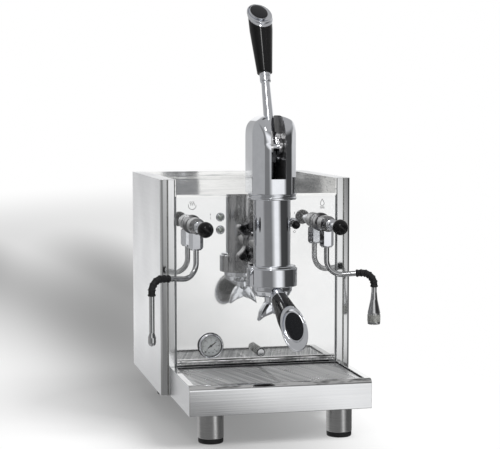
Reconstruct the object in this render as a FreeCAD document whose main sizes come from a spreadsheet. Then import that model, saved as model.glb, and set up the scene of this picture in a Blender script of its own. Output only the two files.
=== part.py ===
"""A lever espresso machine for the kitchen counter, as separate pieces at real size.

Millimetres, +Z up, +X to the right of someone who faces the machine, -Y towards them.
The origin is on the counter, under the middle of the machine's bounding box.
"""
import FreeCAD, Part
import os
import re

import Sketcher

# Driving sizes, in millimetres and degrees.
SIZES = {
    # Case
    "body_width": 330, "body_depth": 317, "body_height": 364, "front_y": -28.54,
    "cheek_thickness": 24.6, "cheek_nose": 9, "cheek_round": 7, "cheek_inner_round": 3,
    "groove_place": 11, "groove_width": 1.6, "groove_depth": 1.5,
    "sheet_wall": 1.5, "fit_gap": 0.3, "overcut": 1,
    "panel_gap": 2.4, "panel_recess": 1, "panel_thickness": 2, "lip_height": 9, "lip_depth": 3,
    "lip_gap": 2.6, "back_thickness": 2, "post_width": 12, "base_thickness": 3, "base_inset": 1.4,
    "base_front_inset": 8, "cup_tray_depth": 27, "cup_tray_wall": 1.2, "cup_lip_height": 4.5,
    "cup_lip_thickness": 1.7, "cup_lip_rise": 1.5, "inlet_width": 48, "inlet_height": 28, "inlet_depth": 24,
    "inlet_rise": 56, "inlet_wall": 3, "inlet_flange": 4, "inlet_pin_length": 14, "inlet_pin_radius": 2,
    # Feet
    "foot_diameter": 42, "foot_height": 51, "foot_wall": 3, "foot_top": 4, "pad_height": 8,
    "pad_diameter": 40, "pad_bevel": 1.5, "foot_inset": 58, "front_foot_reach": 131,
    "rear_foot_inset": 270,
    # Drip tray and grate
    "drip_width": 299.5, "drip_reach": 173, "drip_gap": 2, "drip_height": 48.4, "drip_round": 5,
    "drip_rim": 10, "drip_ledge": 5, "drip_skirt": 3, "drip_floor": 2, "grate_thickness": 2,
    "grate_sink": 2.9, "grate_border": 9, "grate_slot": 3.1, "grate_pitch": 6.1, "grate_rib": 8,
    # Group: cylinder, bell, neck and flange
    "group_reach": 106, "group_radius": 30, "group_below": 28, "group_above": 79, "group_cap": 12,
    "bore_radius": 26.3, "bell_radius": 41, "bell_height": 33, "bell_round": 5, "bell_lip": 3,
    "bell_lip_radius": 35, "bell_groove_radius": 39, "bell_groove_height": 9, "bell_seat_radius": 36,
    "bell_seat_height": 3, "notch_width": 26, "notch_turn": 45, "neck_radius": 19, "neck_drop": 78.5,
    "neck_bore": 8,
    "flange_thickness": 10, "flange_half_x": 27, "flange_half_z": 24, "flange_boss": 9,
    "flange_waist": 20, "flange_hollow": 16,
    "bolt_size": 6, "bolt_head": 5, "gasket_height": 3.4, "gasket_inner": 27.5, "screen_thickness": 1.5,
    # Lever housing on top of the cylinder
    "housing_half": 36, "housing_rear": 39, "housing_flat_front": 15, "housing_chamfer_x": 22,
    "housing_chamfer_y": 40, "housing_nose": 44, "housing_dome": 43.5, "dome_rise": 94,
    "front_round_rise": 91, "housing_ring_radius": 40, "housing_ring_height": 10, "slot_width": 24,
    "slot_front_rise": 34, "slot_rear_rise": 98, "housing_front_wall": 10, "housing_rear_wall": 10,
    # Lever mechanism
    "pivot_ahead": 16, "pivot_rise": 85, "pivot_radius": 5, "hinge_clearance": 0.3, "pin_clearance": 0.05,
    "crank_radius": 20, "crank_angle": -52.5, "crank_pin_radius": 3, "hub_radius": 13,
    "crank_boss": 8, "hub_half": 11, "hub_gap": 10, "hub_web": 14, "lever_lean": 20, "lever_offset": 22,
    "socket_start": 8, "socket_end": 30, "socket_radius": 11, "rod_low_radius": 8.5, "rod_top_radius": 7,
    "rod_length": 90, "ferrule_radius": 9, "ferrule_length": 14,
    # Piston
    "piston_radius": 25.4, "piston_drop": 16, "piston_height": 20, "seal_height": 5, "seal_radius": 26,
    "seal_depth": 3, "piston_rod_radius": 4.5, "rod_clearance": 0.4, "crosshead_half_x": 4,
    "crosshead_half_y": 10, "crosshead_half_z": 9, "yoke_half": 7.6, "yoke_clearance": 1.3,
    "spring_outer": 23, "spring_inner": 17,
    # Grips, the same on the lever and on the portafilter
    "grip_root": 12.5, "grip_end": 19.2, "grip_length": 76, "grip_swell": 2000, "end_radius": 20.6,
    "end_straight": 48, "end_length": 60, "end_cut": 52, "end_cut_start": 5, "badge_radius": 13,
    "badge_rise": 2, "badge_proud": 0.6, "badge_sunk": 1.6,
    # Portafilter
    "bowl_radius": 33, "bowl_low_radius": 30, "bowl_straight": 20.3, "bowl_height": 27.3,
    "bowl_bore": 29.6, "bowl_floor": 3, "lug_reach": 38.4, "lug_width": 20, "lug_height": 4.4,
    "lug_clearance": 0.8,
    "basket_radius": 29.2, "basket_wall": 0.8, "basket_rim": 32.5, "basket_rim_height": 1,
    "basket_depth": 22,
    "handle_droop": 20, "handle_drop": 20.3, "collar_radius": 9.5, "collar_length": 8,
    "spout_boss_radius": 12, "spout_boss_length": 12, "spout_half": 22, "spout_bend": 14, "spout_tube": 8,
    "spout_bar_rise": 3.5, "spout_tip_radius": 6, "spout_tip_length": 15.5, "spout_bore": 4,
    # Taps and wands
    "tap_inset": 53, "tap_drop": 46.5, "tap_flange": 16, "tap_body": 11, "tap_bulge": 13.5, "tap_mouth": 10,
    "tap_mouth_bore": 8, "tap_socket": 7, "tap_length": 60, "tap_tilt_place": 52, "tap_flange_height": 4,
    "tap_bevel": 2, "tap_slope": 3, "branch_place": 38, "branch_radius": 9,
    "branch_length": 18, "collet_hex": 12, "collet_hex_height": 19, "collet_radius": 10.5,
    "collet_height": 22,
    "collet_bore": 4.6, "collet_depth": 17, "stem_radius": 4, "stem_collar": 9.5, "stem_ring": 8.5,
    "stem_neck": 6.5, "stem_foot": 3, "stem_point": 2, "stem_gap": 4, "stem_slope": 2, "stem_band": 4,
    "knob_radius": 13, "knob_place": 118, "knob_flat": 12,
    "wand_radius": 4.1, "wand_bend": 25, "wand_elbow": 20, "wand_rise": 5, "wand_drop": 21,
    "steam_reach": 92, "steam_swivel": 28, "steam_fall": 128, "water_reach": 80.3, "water_swivel": 17,
    "water_fall": 76, "sleeve_radius": 6.5, "sleeve_clearance": 0.1, "sleeve_run": 12, "sleeve_drop": 12,
    "tip_radius": 6.5, "tip_length": 22, "tip_shoulder": 5, "nozzle_radius": 11, "nozzle_cone": 35,
    "nozzle_length": 19, "nozzle_bore": 8, "nozzle_bore_depth": 12,
    # Panel controls
    "lamp_inset": 102, "lamp_drop": 35.5, "lamp_spacing": 21.5, "lamp_radius": 6.75, "lamp_barrel": 4.8,
    "lamp_barrel_length": 14, "lamp_bezel": 2, "lamp_dome": 2.5, "switch_inset": 102, "switch_drop": 46.5,
    "switch_barrel": 9, "switch_bush": 5.8, "switch_nut": 8, "switch_depth": 22, "nut_height": 3,
    "nut_bevel": 1,
    "bush_length": 7, "bush_mouth": 4.2, "bush_bottom": 3.2, "bush_depth": 1, "bat_radius": 7.5,
    "bat_low_radius": 6, "bat_droop": 8, "bat_length": 26, "bat_stalk": 2.2, "bat_stalk_length": 7,
    "bat_slope": 2, "bat_foot": 2.3, "bat_pivot": 2, "bat_round": 5, "bat_tip": 1, "gauge_inset": 84.5,
    "gauge_rise": 31.6, "gauge_radius": 21, "gauge_can": 18.5,
    "gauge_depth": 20, "gauge_proud": 10, "gauge_bevel": 1, "gauge_flare": 0.8, "dial_radius": 17.4,
    "dial_sink": 6, "dial_thickness": 0.6,
    "needle_length": 13, "needle_tail": 5, "needle_width": 1.4, "needle_hub": 2.2, "needle_thickness": 0.6,
    "needle_angle": 35, "glass_thickness": 0.8, "glass_sink": 1.2, "drain_rise": 22, "drain_radius": 7.25,
    "drain_shaft": 3.5, "drain_length": 30, "drain_gap": 2, "drain_tail": 10, "drain_bevel": 1,
    "hole_clearance": 0.3,
    # Inside the case
    "boiler_radius": 62, "boiler_stub": 5, "boiler_wall": 2, "boiler_inset": 110, "boiler_drop": 96.5,
    "heater_hole": 30, "heater_flange": 38, "heater_flange_thickness": 8, "heater_rod": 4,
    "heater_short": 40,
    "heater_spacing": 30, "saddle_spread": 120, "saddle_thickness": 3, "saddle_width": 80,
    "saddle_wrap": 12,
    "pipe_radius": 4, "pipe_bend": 12, "tank_inset": 205, "tank_depth": 84, "tank_side_gap": 15.4,
    "tank_height": 285, "tank_wall": 2.5, "pump_x": 70, "pump_inset": 42, "pump_length": 90,
    "pump_radius": 22,
    "pump_foot": 5, "pump_foot_width": 50, "pump_coil": 34, "pump_coil_length": 45,
}

# Places and sizes that follow from the driving ones.
DERIVED = {
    "half_width": "body_width / 2",
    "foot_spread": "body_width - 2 * foot_inset",
    "tap_spread": "half_width - tap_inset",
    "lamp_x": "lamp_inset - half_width",
    "switch_x": "half_width - switch_inset",
    "gauge_x": "gauge_inset - half_width",
    "cheek_inner": "half_width - cheek_thickness",
    "body_bottom": "foot_height",
    "body_top": "body_bottom + body_height",
    "back_y": "front_y + body_depth",
    "back_panel_y": "back_y - back_thickness",
    "panel_half": "cheek_inner - panel_gap",
    "panel_face_y": "front_y + panel_recess",
    "panel_back_y": "panel_face_y + panel_thickness",
    "cup_floor_z": "body_top - cup_tray_depth",
    "cup_under_z": "cup_floor_z - sheet_wall",
    "cup_half": "cheek_inner - fit_gap",
    "base_top": "body_bottom + base_thickness",
    "base_half": "cheek_inner - base_inset",
    "inlet_z": "base_top + inlet_rise",
    "drip_rim_z": "body_bottom + drip_height",
    "lip_low_z": "drip_rim_z + lip_gap",
    "gauge_z": "lip_low_z + gauge_rise",
    "drain_z": "lip_low_z + drain_rise",
    "tap_z": "cup_under_z - tap_drop",
    "lamp_high_z": "cup_under_z - lamp_drop",
    "lamp_low_z": "lamp_high_z - lamp_spacing",
    "switch_z": "cup_under_z - switch_drop",
    "boiler_z": "cup_under_z - boiler_drop",
    "neck_z": "cup_under_z - neck_drop",
    "group_low_z": "neck_z - group_below",
    "group_top_z": "neck_z + group_above",
    "bell_low_z": "group_low_z - bell_height",
    "pivot_z": "group_top_z + pivot_rise",
    "housing_dome_z": "group_top_z + dome_rise",
    "housing_front_round_z": "group_top_z + front_round_rise",
    "slot_front_z": "group_top_z + slot_front_rise",
    "slot_rear_z": "group_top_z + slot_rear_rise",
    "piston_low_z": "group_low_z - piston_drop",
    "drip_front_y": "front_y - drip_reach",
    "drip_back_y": "front_y - drip_gap",
    "drip_under_z": "base_top + fit_gap",
    "drip_bowl_z": "drip_under_z + drip_floor",
    "grate_top_z": "drip_rim_z - grate_sink",
    "grate_low_z": "grate_top_z - grate_thickness",
    "ledge_z": "grate_low_z - fit_gap",
    "recess_half": "drip_width / 2 - drip_rim",
    "recess_front_y": "drip_front_y + drip_rim",
    "recess_back_y": "drip_back_y - drip_skirt",
    "group_y": "front_y - group_reach",
    "bell_groove_z": "bell_low_z + bell_lip",
    "bell_seat_z": "bell_groove_z + bell_groove_height",
    "bell_top_seat_z": "bell_seat_z + bell_seat_height",
    "gasket_low_z": "bell_top_seat_z - gasket_height",
    "bowl_rim_z": "gasket_low_z - fit_gap - basket_rim_height",
    "bowl_taper_z": "bowl_rim_z - bowl_straight",
    "bowl_low_z": "bowl_rim_z - bowl_height",
    "lug_low_z": "bell_groove_z + lug_clearance",
    "handle_root_z": "bowl_rim_z - handle_drop",
    "chamber_top_z": "group_top_z - group_cap",
    "pivot_y": "group_y - pivot_ahead",
    "crank_y": "pivot_y + crank_radius * cos(crank_angle)",
    "crank_z": "pivot_z + crank_radius * sin(crank_angle)",
    "lever_line_y": "pivot_y + lever_offset * cos(lever_lean)",
    "lever_line_z": "pivot_z - lever_offset * sin(lever_lean)",
    "ferrule_start": "socket_end + rod_length",
    "lever_grip_start": "ferrule_start + ferrule_length",
    "piston_top_z": "piston_low_z + piston_height",
    "housing_floor_z": "group_top_z + housing_ring_height",
    "dome_side_z": "housing_dome_z + sqrt(housing_dome ^ 2 - housing_half ^ 2)",
    "housing_top_z": "housing_dome_z + housing_dome",
    "housing_front_round": "housing_top_z - housing_front_round_z",
    "end_dome": "end_length - end_straight",
    "end_dome_radius": "(end_dome ^ 2 + end_radius ^ 2) / (2 * end_dome)",
    "handle_root_y": "group_y - bowl_radius",
    "branch_y": "panel_face_y - branch_place",
    "branch_low_z": "tap_z - branch_length",
    "collet_low_z": "branch_low_z - collet_height",
    "steam_low_z": "collet_low_z - steam_fall",
    "water_low_z": "collet_low_z - water_fall",
    "wand_top_z": "collet_low_z + collet_depth - fit_gap",
    "wand_bend_z": "collet_low_z - wand_drop",
    "wand_corner_x": "wand_bend * (1 + sin(wand_rise))",
    "wand_corner_z": "wand_bend_z - wand_bend * cos(wand_rise)",
    "elbow_span": "wand_elbow * (1 + sin(wand_rise))",
    "boiler_y": "front_y + boiler_inset",
    "boiler_half": "tap_spread - pipe_bend - boiler_stub",
    "boiler_length": "2 * boiler_half",
    "heater_reach": "boiler_length - heater_short",
    "knob_back": "knob_place - knob_flat",
    "knob_back_radius": "sqrt(knob_radius ^ 2 - knob_flat ^ 2)",
    "gauge_floor": "gauge_depth + gauge_proud - dial_sink",
    "tank_y": "front_y + tank_inset",
    "tank_width": "2 * (cheek_inner - tank_side_gap)",
    "pump_y": "front_y + pump_inset",
    "pump_axis_z": "base_top + pump_foot + pump_radius",
}

Vector = FreeCAD.Vector
ALONG_X = (Vector(0, 1, 0), "90")
TOWARDS_FRONT = (Vector(1, 0, 0), "90")
TOWARDS_BACK = (Vector(1, 0, 0), "-90")
WORD = re.compile(r"[a-z][a-z_0-9]*")

doc = FreeCAD.newDocument("LeverEspressoMachine")
sheet = doc.addObject("Spreadsheet::Sheet", "Sizes")
nodes = []


def fill_sheet():
    """Writes every size to the sheet, each in a cell with its own name."""
    rows = {name: str(number) for name, number in SIZES.items()}
    rows.update({name: "=" + formula for name, formula in DERIVED.items()})
    for row, (name, content) in enumerate(rows.items(), start=1):
        sheet.set(f"A{row}", name)
        sheet.set(f"B{row}", content)
        sheet.setAlias(f"B{row}", name)
    doc.recompute()


def linked(formula):
    """The formula with each size's name pointed at the sheet."""
    def point(match):
        word = match.group(0)
        return f"Sizes.{word}" if word in SIZES or word in DERIVED else word
    return WORD.sub(point, str(formula))


def value(formula):
    """The number that a formula of sizes comes to now."""
    return float(sheet.evalExpression(linked(formula)))


def bind(item, name, formula):
    """Ties one property of an object to a formula of sizes."""
    item.setExpression(name, linked(formula))


def seat(item, at=("0", "0", "0"), turn=None):
    """Places an object: a point, and a turn of (axis, angle)."""
    if turn:
        axis, angle = turn
        item.Placement = FreeCAD.Placement(Vector(), FreeCAD.Rotation(axis, value(angle)))
        bind(item, "Placement.Rotation.Angle", angle)
    for side, formula in zip("xyz", at):
        bind(item, f"Placement.Base.{side}", formula)
    return item


def keep(item, label):
    """Gives an object the name of the piece that it is, and keeps it as one."""
    item.Label = label
    nodes.append(item)
    return item


def solid(kind, label, sizes, at, turn=None):
    """A primitive with its sizes and place tied to the sheet."""
    item = doc.addObject(kind, label)
    for name, formula in sizes.items():
        bind(item, name, formula)
    return seat(item, at, turn)


def block(label, low, high, turn=None):
    """A box between two corners; a turned one takes its size from corners about its own origin."""
    spans = {name: f"({b}) - ({a})" for name, a, b in zip(("Length", "Width", "Height"), low, high)}
    return solid("Part::Box", label, spans, low, turn)


def rod(label, radius, length, at, turn=None):
    """A round bar from a point, along +Z or as turned."""
    return solid("Part::Cylinder", label, {"Radius": radius, "Height": length}, at, turn)


def taper(label, low_radius, high_radius, length, at, turn=None):
    """A round bar that changes its radius along its length."""
    sizes = {"Radius1": low_radius, "Radius2": high_radius, "Height": length}
    return solid("Part::Cone", label, sizes, at, turn)


def hexagon(label, radius, height, at, turn=None):
    """A six-sided bar, such as a bolt's head."""
    item = solid("Part::Prism", label, {"Circumradius": radius, "Height": height}, at, turn)
    item.Polygon = 6
    return item


def elbow(label, bend_radius, tube_radius, sweep, at, frame):
    """A bent round bar: part of a ring that starts on its frame's own X axis."""
    sizes = {"Radius1": bend_radius, "Radius2": tube_radius, "Angle3": sweep}
    item = solid("Part::Torus", label, sizes, at)
    item.Placement = FreeCAD.Placement(Vector(), FreeCAD.Rotation(*frame, "XYZ"))
    return item


def cut(label, base, *tools):
    """The base without the tools."""
    item = doc.addObject("Part::Cut", label)
    item.Base = base
    item.Tool = tools[0] if len(tools) == 1 else fuse(label + "_tools", *tools)
    return item


def fuse(label, *parts):
    """Several shapes as one."""
    item = doc.addObject("Part::MultiFuse", label)
    item.Shapes = list(parts)
    return item


def common(label, *parts):
    """What several shapes share."""
    item = doc.addObject("Part::MultiCommon", label)
    item.Shapes = list(parts)
    return item


def group(label, *parts):
    """Separate solids that count as one piece of the list."""
    item = doc.addObject("Part::Compound", label)
    item.Links = list(parts)
    return item


def mirrored(label, source):
    """The same shape on the other side of the machine's middle."""
    item = doc.addObject("Part::Mirroring", label)
    item.Source = source
    item.Normal = Vector(1, 0, 0)
    return item


def arc_between(start, end, radius):
    """The arc from start to end, bulging right of the way for a positive radius."""
    chord = end - start
    middle = (start + end) * 0.5
    sideways = Vector(chord.y, -chord.x, 0).normalize()
    rise = abs(radius) - (radius * radius - (chord.Length / 2) ** 2) ** 0.5
    return Part.Arc(start, middle + sideways * (rise if radius > 0 else -rise), end)


def draw_outline(sketch, corners):
    """Draws a closed outline: each corner is (x, y), with the next arc's radius as a third value."""
    points = [Vector(value(corner[0]), value(corner[1]), 0) for corner in corners]
    count = len(corners)
    first = sketch.GeometryCount
    starts = []
    ends = []
    for index, corner in enumerate(corners):
        start = points[index]
        end = points[(index + 1) % count]
        if len(corner) == 2:
            sketch.addGeometry(Part.LineSegment(start, end), False)
            starts.append((first + index, 1))
            ends.append((first + index, 2))
            continue
        sketch.addGeometry(arc_between(start, end, value(corner[2])), False)
        drawn = sketch.Geometry[first + index]
        ahead = (drawn.StartPoint - start).Length < (drawn.EndPoint - start).Length
        starts.append((first + index, 1 if ahead else 2))
        ends.append((first + index, 2 if ahead else 1))
    for index, corner in enumerate(corners):
        after = starts[(index + 1) % count]
        sketch.addConstraint(Sketcher.Constraint("Coincident", *ends[index], *after))
        hold_point(sketch, starts[index], corner)
        if len(corner) == 3:
            size = sketch.addConstraint(Sketcher.Constraint("Radius", first + index, abs(value(corner[2]))))
            bind(sketch, f"Constraints[{size}]", f"abs({corner[2]})")


def hold_point(sketch, point, place):
    """Ties a point of a sketch to its place; a zero keeps it on the axis."""
    for kind, axis, formula in (("DistanceX", -2, place[0]), ("DistanceY", -1, place[1])):
        if str(formula) == "0":
            sketch.addConstraint(Sketcher.Constraint("PointOnObject", *point, axis))
            continue
        place_held = sketch.addConstraint(Sketcher.Constraint(kind, *point, value(formula)))
        bind(sketch, f"Constraints[{place_held}]", formula)


def draw_hole(sketch, x, y, radius):
    """Draws a round hole."""
    circle = sketch.addGeometry(Part.Circle(Vector(value(x), value(y), 0), Vector(0, 0, 1), value(radius)),
                                False)
    hold_point(sketch, (circle, 3), (x, y))
    size = sketch.addConstraint(Sketcher.Constraint("Radius", circle, value(radius)))
    bind(sketch, f"Constraints[{size}]", radius)


def sketched(label, plane):
    """A new body with an empty sketch on one of its own origin planes."""
    body = doc.addObject("PartDesign::Body", label)
    sketch = body.newObject("Sketcher::SketchObject", label + "_outline")
    support = [item for item in body.Origin.OriginFeatures if item.Role == plane][0]
    sketch.AttachmentSupport = (support, [""])
    sketch.MapMode = "FlatFace"
    return body, sketch


def turned(label, corners, at=("0", "0", "0"), turn=None):
    """A round piece: an outline of (radius, height) corners, turned about its own Z axis."""
    body, sketch = sketched(label, "XZ_Plane")
    draw_outline(sketch, corners)
    feature = body.newObject("PartDesign::Revolution", label + "_turn")
    feature.Profile = sketch
    feature.ReferenceAxis = (sketch, ["V_Axis"])
    feature.Angle = 360
    return seat(body, at, turn)


def plate(label, plane, corners, thickness, at, holes=(), middle=False, reverse=False):
    """A flat piece: an outline with round holes, given a thickness."""
    body, sketch = sketched(label, plane)
    draw_outline(sketch, corners)
    for hole in holes:
        draw_hole(sketch, *hole)
    feature = body.newObject("PartDesign::Pad", label + "_pad")
    feature.Profile = sketch
    bind(feature, "Length", thickness)
    feature.Midplane = middle
    feature.Reversed = reverse
    return seat(body, at)


def rectangle(left, low, right, high):
    """The corners of an upright rectangle."""
    return [(left, low), (right, low), (right, high), (left, high)]


def build_case():
    """The chassis, cheeks, front and back panels and the cup tray."""
    floor = block("floor_sheet", ("-base_half", "drip_front_y + base_front_inset", "body_bottom"),
                  ("base_half", "back_panel_y", "base_top"))
    posts = []
    for side in ("left", "right"):
        low_x = "-cheek_inner" if side == "left" else "cheek_inner - post_width"
        for end, low_y in (("front", "panel_back_y"), ("rear", "back_panel_y - post_width")):
            high = (f"{low_x} + post_width", f"{low_y} + post_width", "cup_under_z")
            posts.append(block(f"{side}_{end}_post", (low_x, low_y, "body_bottom"), high))
    saddles = []
    for side in (-1, 1):
        low_x = f"{side} * saddle_spread / 2 - saddle_thickness / 2"
        high = (f"{low_x} + saddle_thickness", "boiler_y + saddle_width / 2", "boiler_z - saddle_wrap")
        saddles.append(block("saddle", (low_x, "boiler_y - saddle_width / 2", "base_top"), high))
    saddle_cut = rod("saddle_hollow", "boiler_radius", "body_width",
                     ("-half_width", "boiler_y", "boiler_z"), ALONG_X)
    keep(cut("chassis", fuse("frame_members", floor, *posts, *saddles), saddle_cut), "chassis")

    groove_low = "half_width - groove_place - groove_width"
    outline = [
        ("cheek_inner", "back_y"), ("cheek_inner", "front_y + cheek_inner_round", "cheek_inner_round"),
        ("cheek_inner + cheek_inner_round", "front_y"), (groove_low, "front_y"),
        (groove_low, "front_y + groove_depth"), ("half_width - groove_place", "front_y + groove_depth"),
        ("half_width - groove_place", "front_y"), ("half_width - cheek_round", "front_y", "cheek_round"),
        ("half_width", "front_y + cheek_round"), ("half_width", "back_y"),
    ]
    outer = plate("cheek_outer", "XY_Plane", outline, "body_height", ("0", "0", "body_bottom"))
    hollow = block("cheek_hollow",
                   ("cheek_inner - overcut", "front_y + cheek_nose", "body_bottom + sheet_wall"),
                   ("half_width - sheet_wall", "back_y - sheet_wall", "body_top - sheet_wall"))
    right = cut("side_panel_right", outer, hollow)
    keep(mirrored("side_panel_left", right), "side_panel_left")
    keep(right, "side_panel_right")

    holes = [
        ("0", "neck_z", "neck_bore + hole_clearance"),
        ("-tap_spread", "tap_z", "pipe_radius + hole_clearance"),
        ("tap_spread", "tap_z", "pipe_radius + hole_clearance"),
        ("lamp_x", "lamp_high_z", "lamp_barrel + hole_clearance"),
        ("lamp_x", "lamp_low_z", "lamp_barrel + hole_clearance"),
        ("switch_x", "switch_z", "switch_bush + hole_clearance"),
        ("gauge_x", "gauge_z", "gauge_can + hole_clearance"),
        ("0", "drain_z", "drain_shaft + hole_clearance"),
    ]
    face = plate("front_sheet", "XZ_Plane",
                 rectangle("-panel_half", "lip_low_z", "panel_half", "cup_under_z"),
                 "panel_thickness", ("0", "panel_face_y", "0"), holes, reverse=True)
    lip = block("front_lip", ("-panel_half", "panel_face_y - lip_depth", "lip_low_z"),
                ("panel_half", "panel_face_y", "lip_low_z + lip_height"))
    keep(fuse("front_panel", face, lip), "front_panel")

    back = block("back_sheet", ("-cup_half", "back_panel_y", "body_bottom"),
                 ("cup_half", "back_y", "body_top - fit_gap"))
    inlet_hole = block("inlet_hole",
                       ("-inlet_width / 2", "back_panel_y - overcut", "inlet_z - inlet_height / 2"),
                       ("inlet_width / 2", "back_y + overcut", "inlet_z + inlet_height / 2"))
    keep(cut("back_panel", back, inlet_hole), "back_panel")
    keep(build_inlet(), "power_inlet")

    tray = block("cup_tray_block", ("-cup_half", "front_y + panel_recess", "cup_under_z"),
                 ("cup_half", "back_panel_y - fit_gap", "body_top - fit_gap"))
    recess = block("cup_tray_recess", ("-cup_half + cup_tray_wall", "front_y - overcut", "cup_floor_z"),
                   ("cup_half - cup_tray_wall", "back_panel_y - fit_gap - cup_tray_wall",
                    "body_top + overcut"))
    cup_lip = block("cup_tray_lip", ("-panel_half", "panel_face_y - fit_gap - cup_lip_thickness",
                                     "cup_floor_z + cup_lip_rise - cup_lip_height"),
                    ("panel_half", "panel_face_y - fit_gap", "cup_floor_z + cup_lip_rise"))
    lip_joint = block("cup_tray_lip_joint", ("-panel_half", "panel_face_y - fit_gap", "cup_under_z"),
                      ("panel_half", "panel_face_y + panel_thickness", "cup_floor_z"))
    keep(fuse("cup_tray", cut("cup_tray_shell", tray, recess), cup_lip, lip_joint), "cup_tray")


def build_inlet():
    """The mains inlet in the back panel: an open box with three pins."""
    half = "inlet_width / 2 - fit_gap"
    rise = "inlet_height / 2 - fit_gap"
    can = block("inlet_can", (f"-({half})", "back_y - inlet_depth", f"inlet_z - ({rise})"),
                (half, "back_y", f"inlet_z + {rise}"))
    rim = block("inlet_rim", (f"-({half}) - inlet_flange", "back_y", f"inlet_z - ({rise}) - inlet_flange"),
                (f"{half} + inlet_flange", "back_y + back_thickness", f"inlet_z + {rise} + inlet_flange"))
    well = block("inlet_well", (f"-({half}) + inlet_wall", "back_y - inlet_depth + inlet_wall",
                                f"inlet_z - ({rise}) + inlet_wall"),
                 (f"{half} - inlet_wall", "back_y + back_thickness + overcut",
                  f"inlet_z + {rise} - inlet_wall"))
    pins = []
    for step in (-1, 0, 1):
        at = (f"{step} * inlet_width / 4", "back_y - inlet_depth + inlet_wall - overcut", "inlet_z")
        pins.append(rod("inlet_pin", "inlet_pin_radius", "inlet_pin_length", at, TOWARDS_BACK))
    return fuse("power_inlet", cut("inlet_shell", fuse("inlet_box", can, rim), well), *pins)


def build_feet():
    """Four round feet: a steel sleeve over a rubber pad."""
    sleeves = []
    pads = []
    for side in (-1, 1):
        for y in ("front_y - front_foot_reach", "front_y + rear_foot_inset"):
            at = (f"{side} * foot_spread / 2", y, "0")
            radius = "foot_diameter / 2"
            sleeves.append(turned("foot_sleeve", [
                ("0", "foot_height - foot_top"), (f"{radius} - foot_wall", "foot_height - foot_top"),
                (f"{radius} - foot_wall", "pad_height"), (radius, "pad_height"), (radius, "foot_height"),
                ("0", "foot_height")], at))
            pads.append(turned("foot_pad", [
                ("0", "0"), ("pad_diameter / 2 - pad_bevel", "0"), ("pad_diameter / 2", "pad_bevel"),
                ("pad_diameter / 2", "pad_height"), ("0", "pad_height")], at))
    keep(group("foot_sleeves", *sleeves), "foot_sleeves")
    keep(group("foot_pads", *pads), "foot_pads")


def build_drip_tray():
    """The drawer under the group, with its round-edged front, and the slotted grate in it."""
    side = [
        ("drip_front_y", "body_bottom"), ("drip_back_y", "body_bottom"), ("drip_back_y", "drip_rim_z"),
        ("drip_front_y + drip_round", "drip_rim_z", "drip_round"),
        ("drip_front_y", "drip_rim_z - drip_round"),
    ]
    outer = plate("drip_outer", "YZ_Plane", side, "drip_width", ("0", "0", "0"), middle=True)
    recess = block("grate_recess", ("-recess_half", "recess_front_y", "ledge_z"),
                   ("recess_half", "recess_back_y", "drip_rim_z + overcut"))
    bowl = block("drip_bowl", ("-recess_half + drip_ledge", "recess_front_y + drip_ledge", "drip_bowl_z"),
                 ("recess_half - drip_ledge", "recess_back_y - drip_ledge", "drip_rim_z"))
    under = block("drip_under",
                  ("-drip_width / 2 + drip_skirt", "drip_front_y + drip_skirt", "body_bottom - overcut"),
                  ("drip_width / 2 - drip_skirt", "drip_back_y + overcut", "drip_under_z"))
    keep(cut("drip_tray", outer, recess, bowl, under), "drip_tray")

    sheet_low = ("-recess_half + fit_gap", "recess_front_y + fit_gap", "grate_low_z")
    sheet_high = ("recess_half - fit_gap", "recess_back_y - fit_gap", "grate_top_z")
    slotted = value("recess_back_y - recess_front_y - 2 * fit_gap - 2 * grate_border"
                    " + grate_pitch - grate_slot")
    slots = []
    for row in range(int(slotted // value("grate_pitch"))):
        low_y = f"recess_front_y + fit_gap + grate_border + {row} * grate_pitch"
        for low_x, high_x in (("-recess_half + fit_gap + grate_border", "-grate_rib / 2"),
                              ("grate_rib / 2", "recess_half - fit_gap - grate_border")):
            slots.append(block("grate_slot", (low_x, low_y, "grate_low_z - overcut"),
                               (high_x, f"{low_y} + grate_slot", "grate_top_z + overcut")))
    keep(cut("drip_grate", block("grate_sheet", sheet_low, sheet_high), *slots), "drip_grate")


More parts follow.
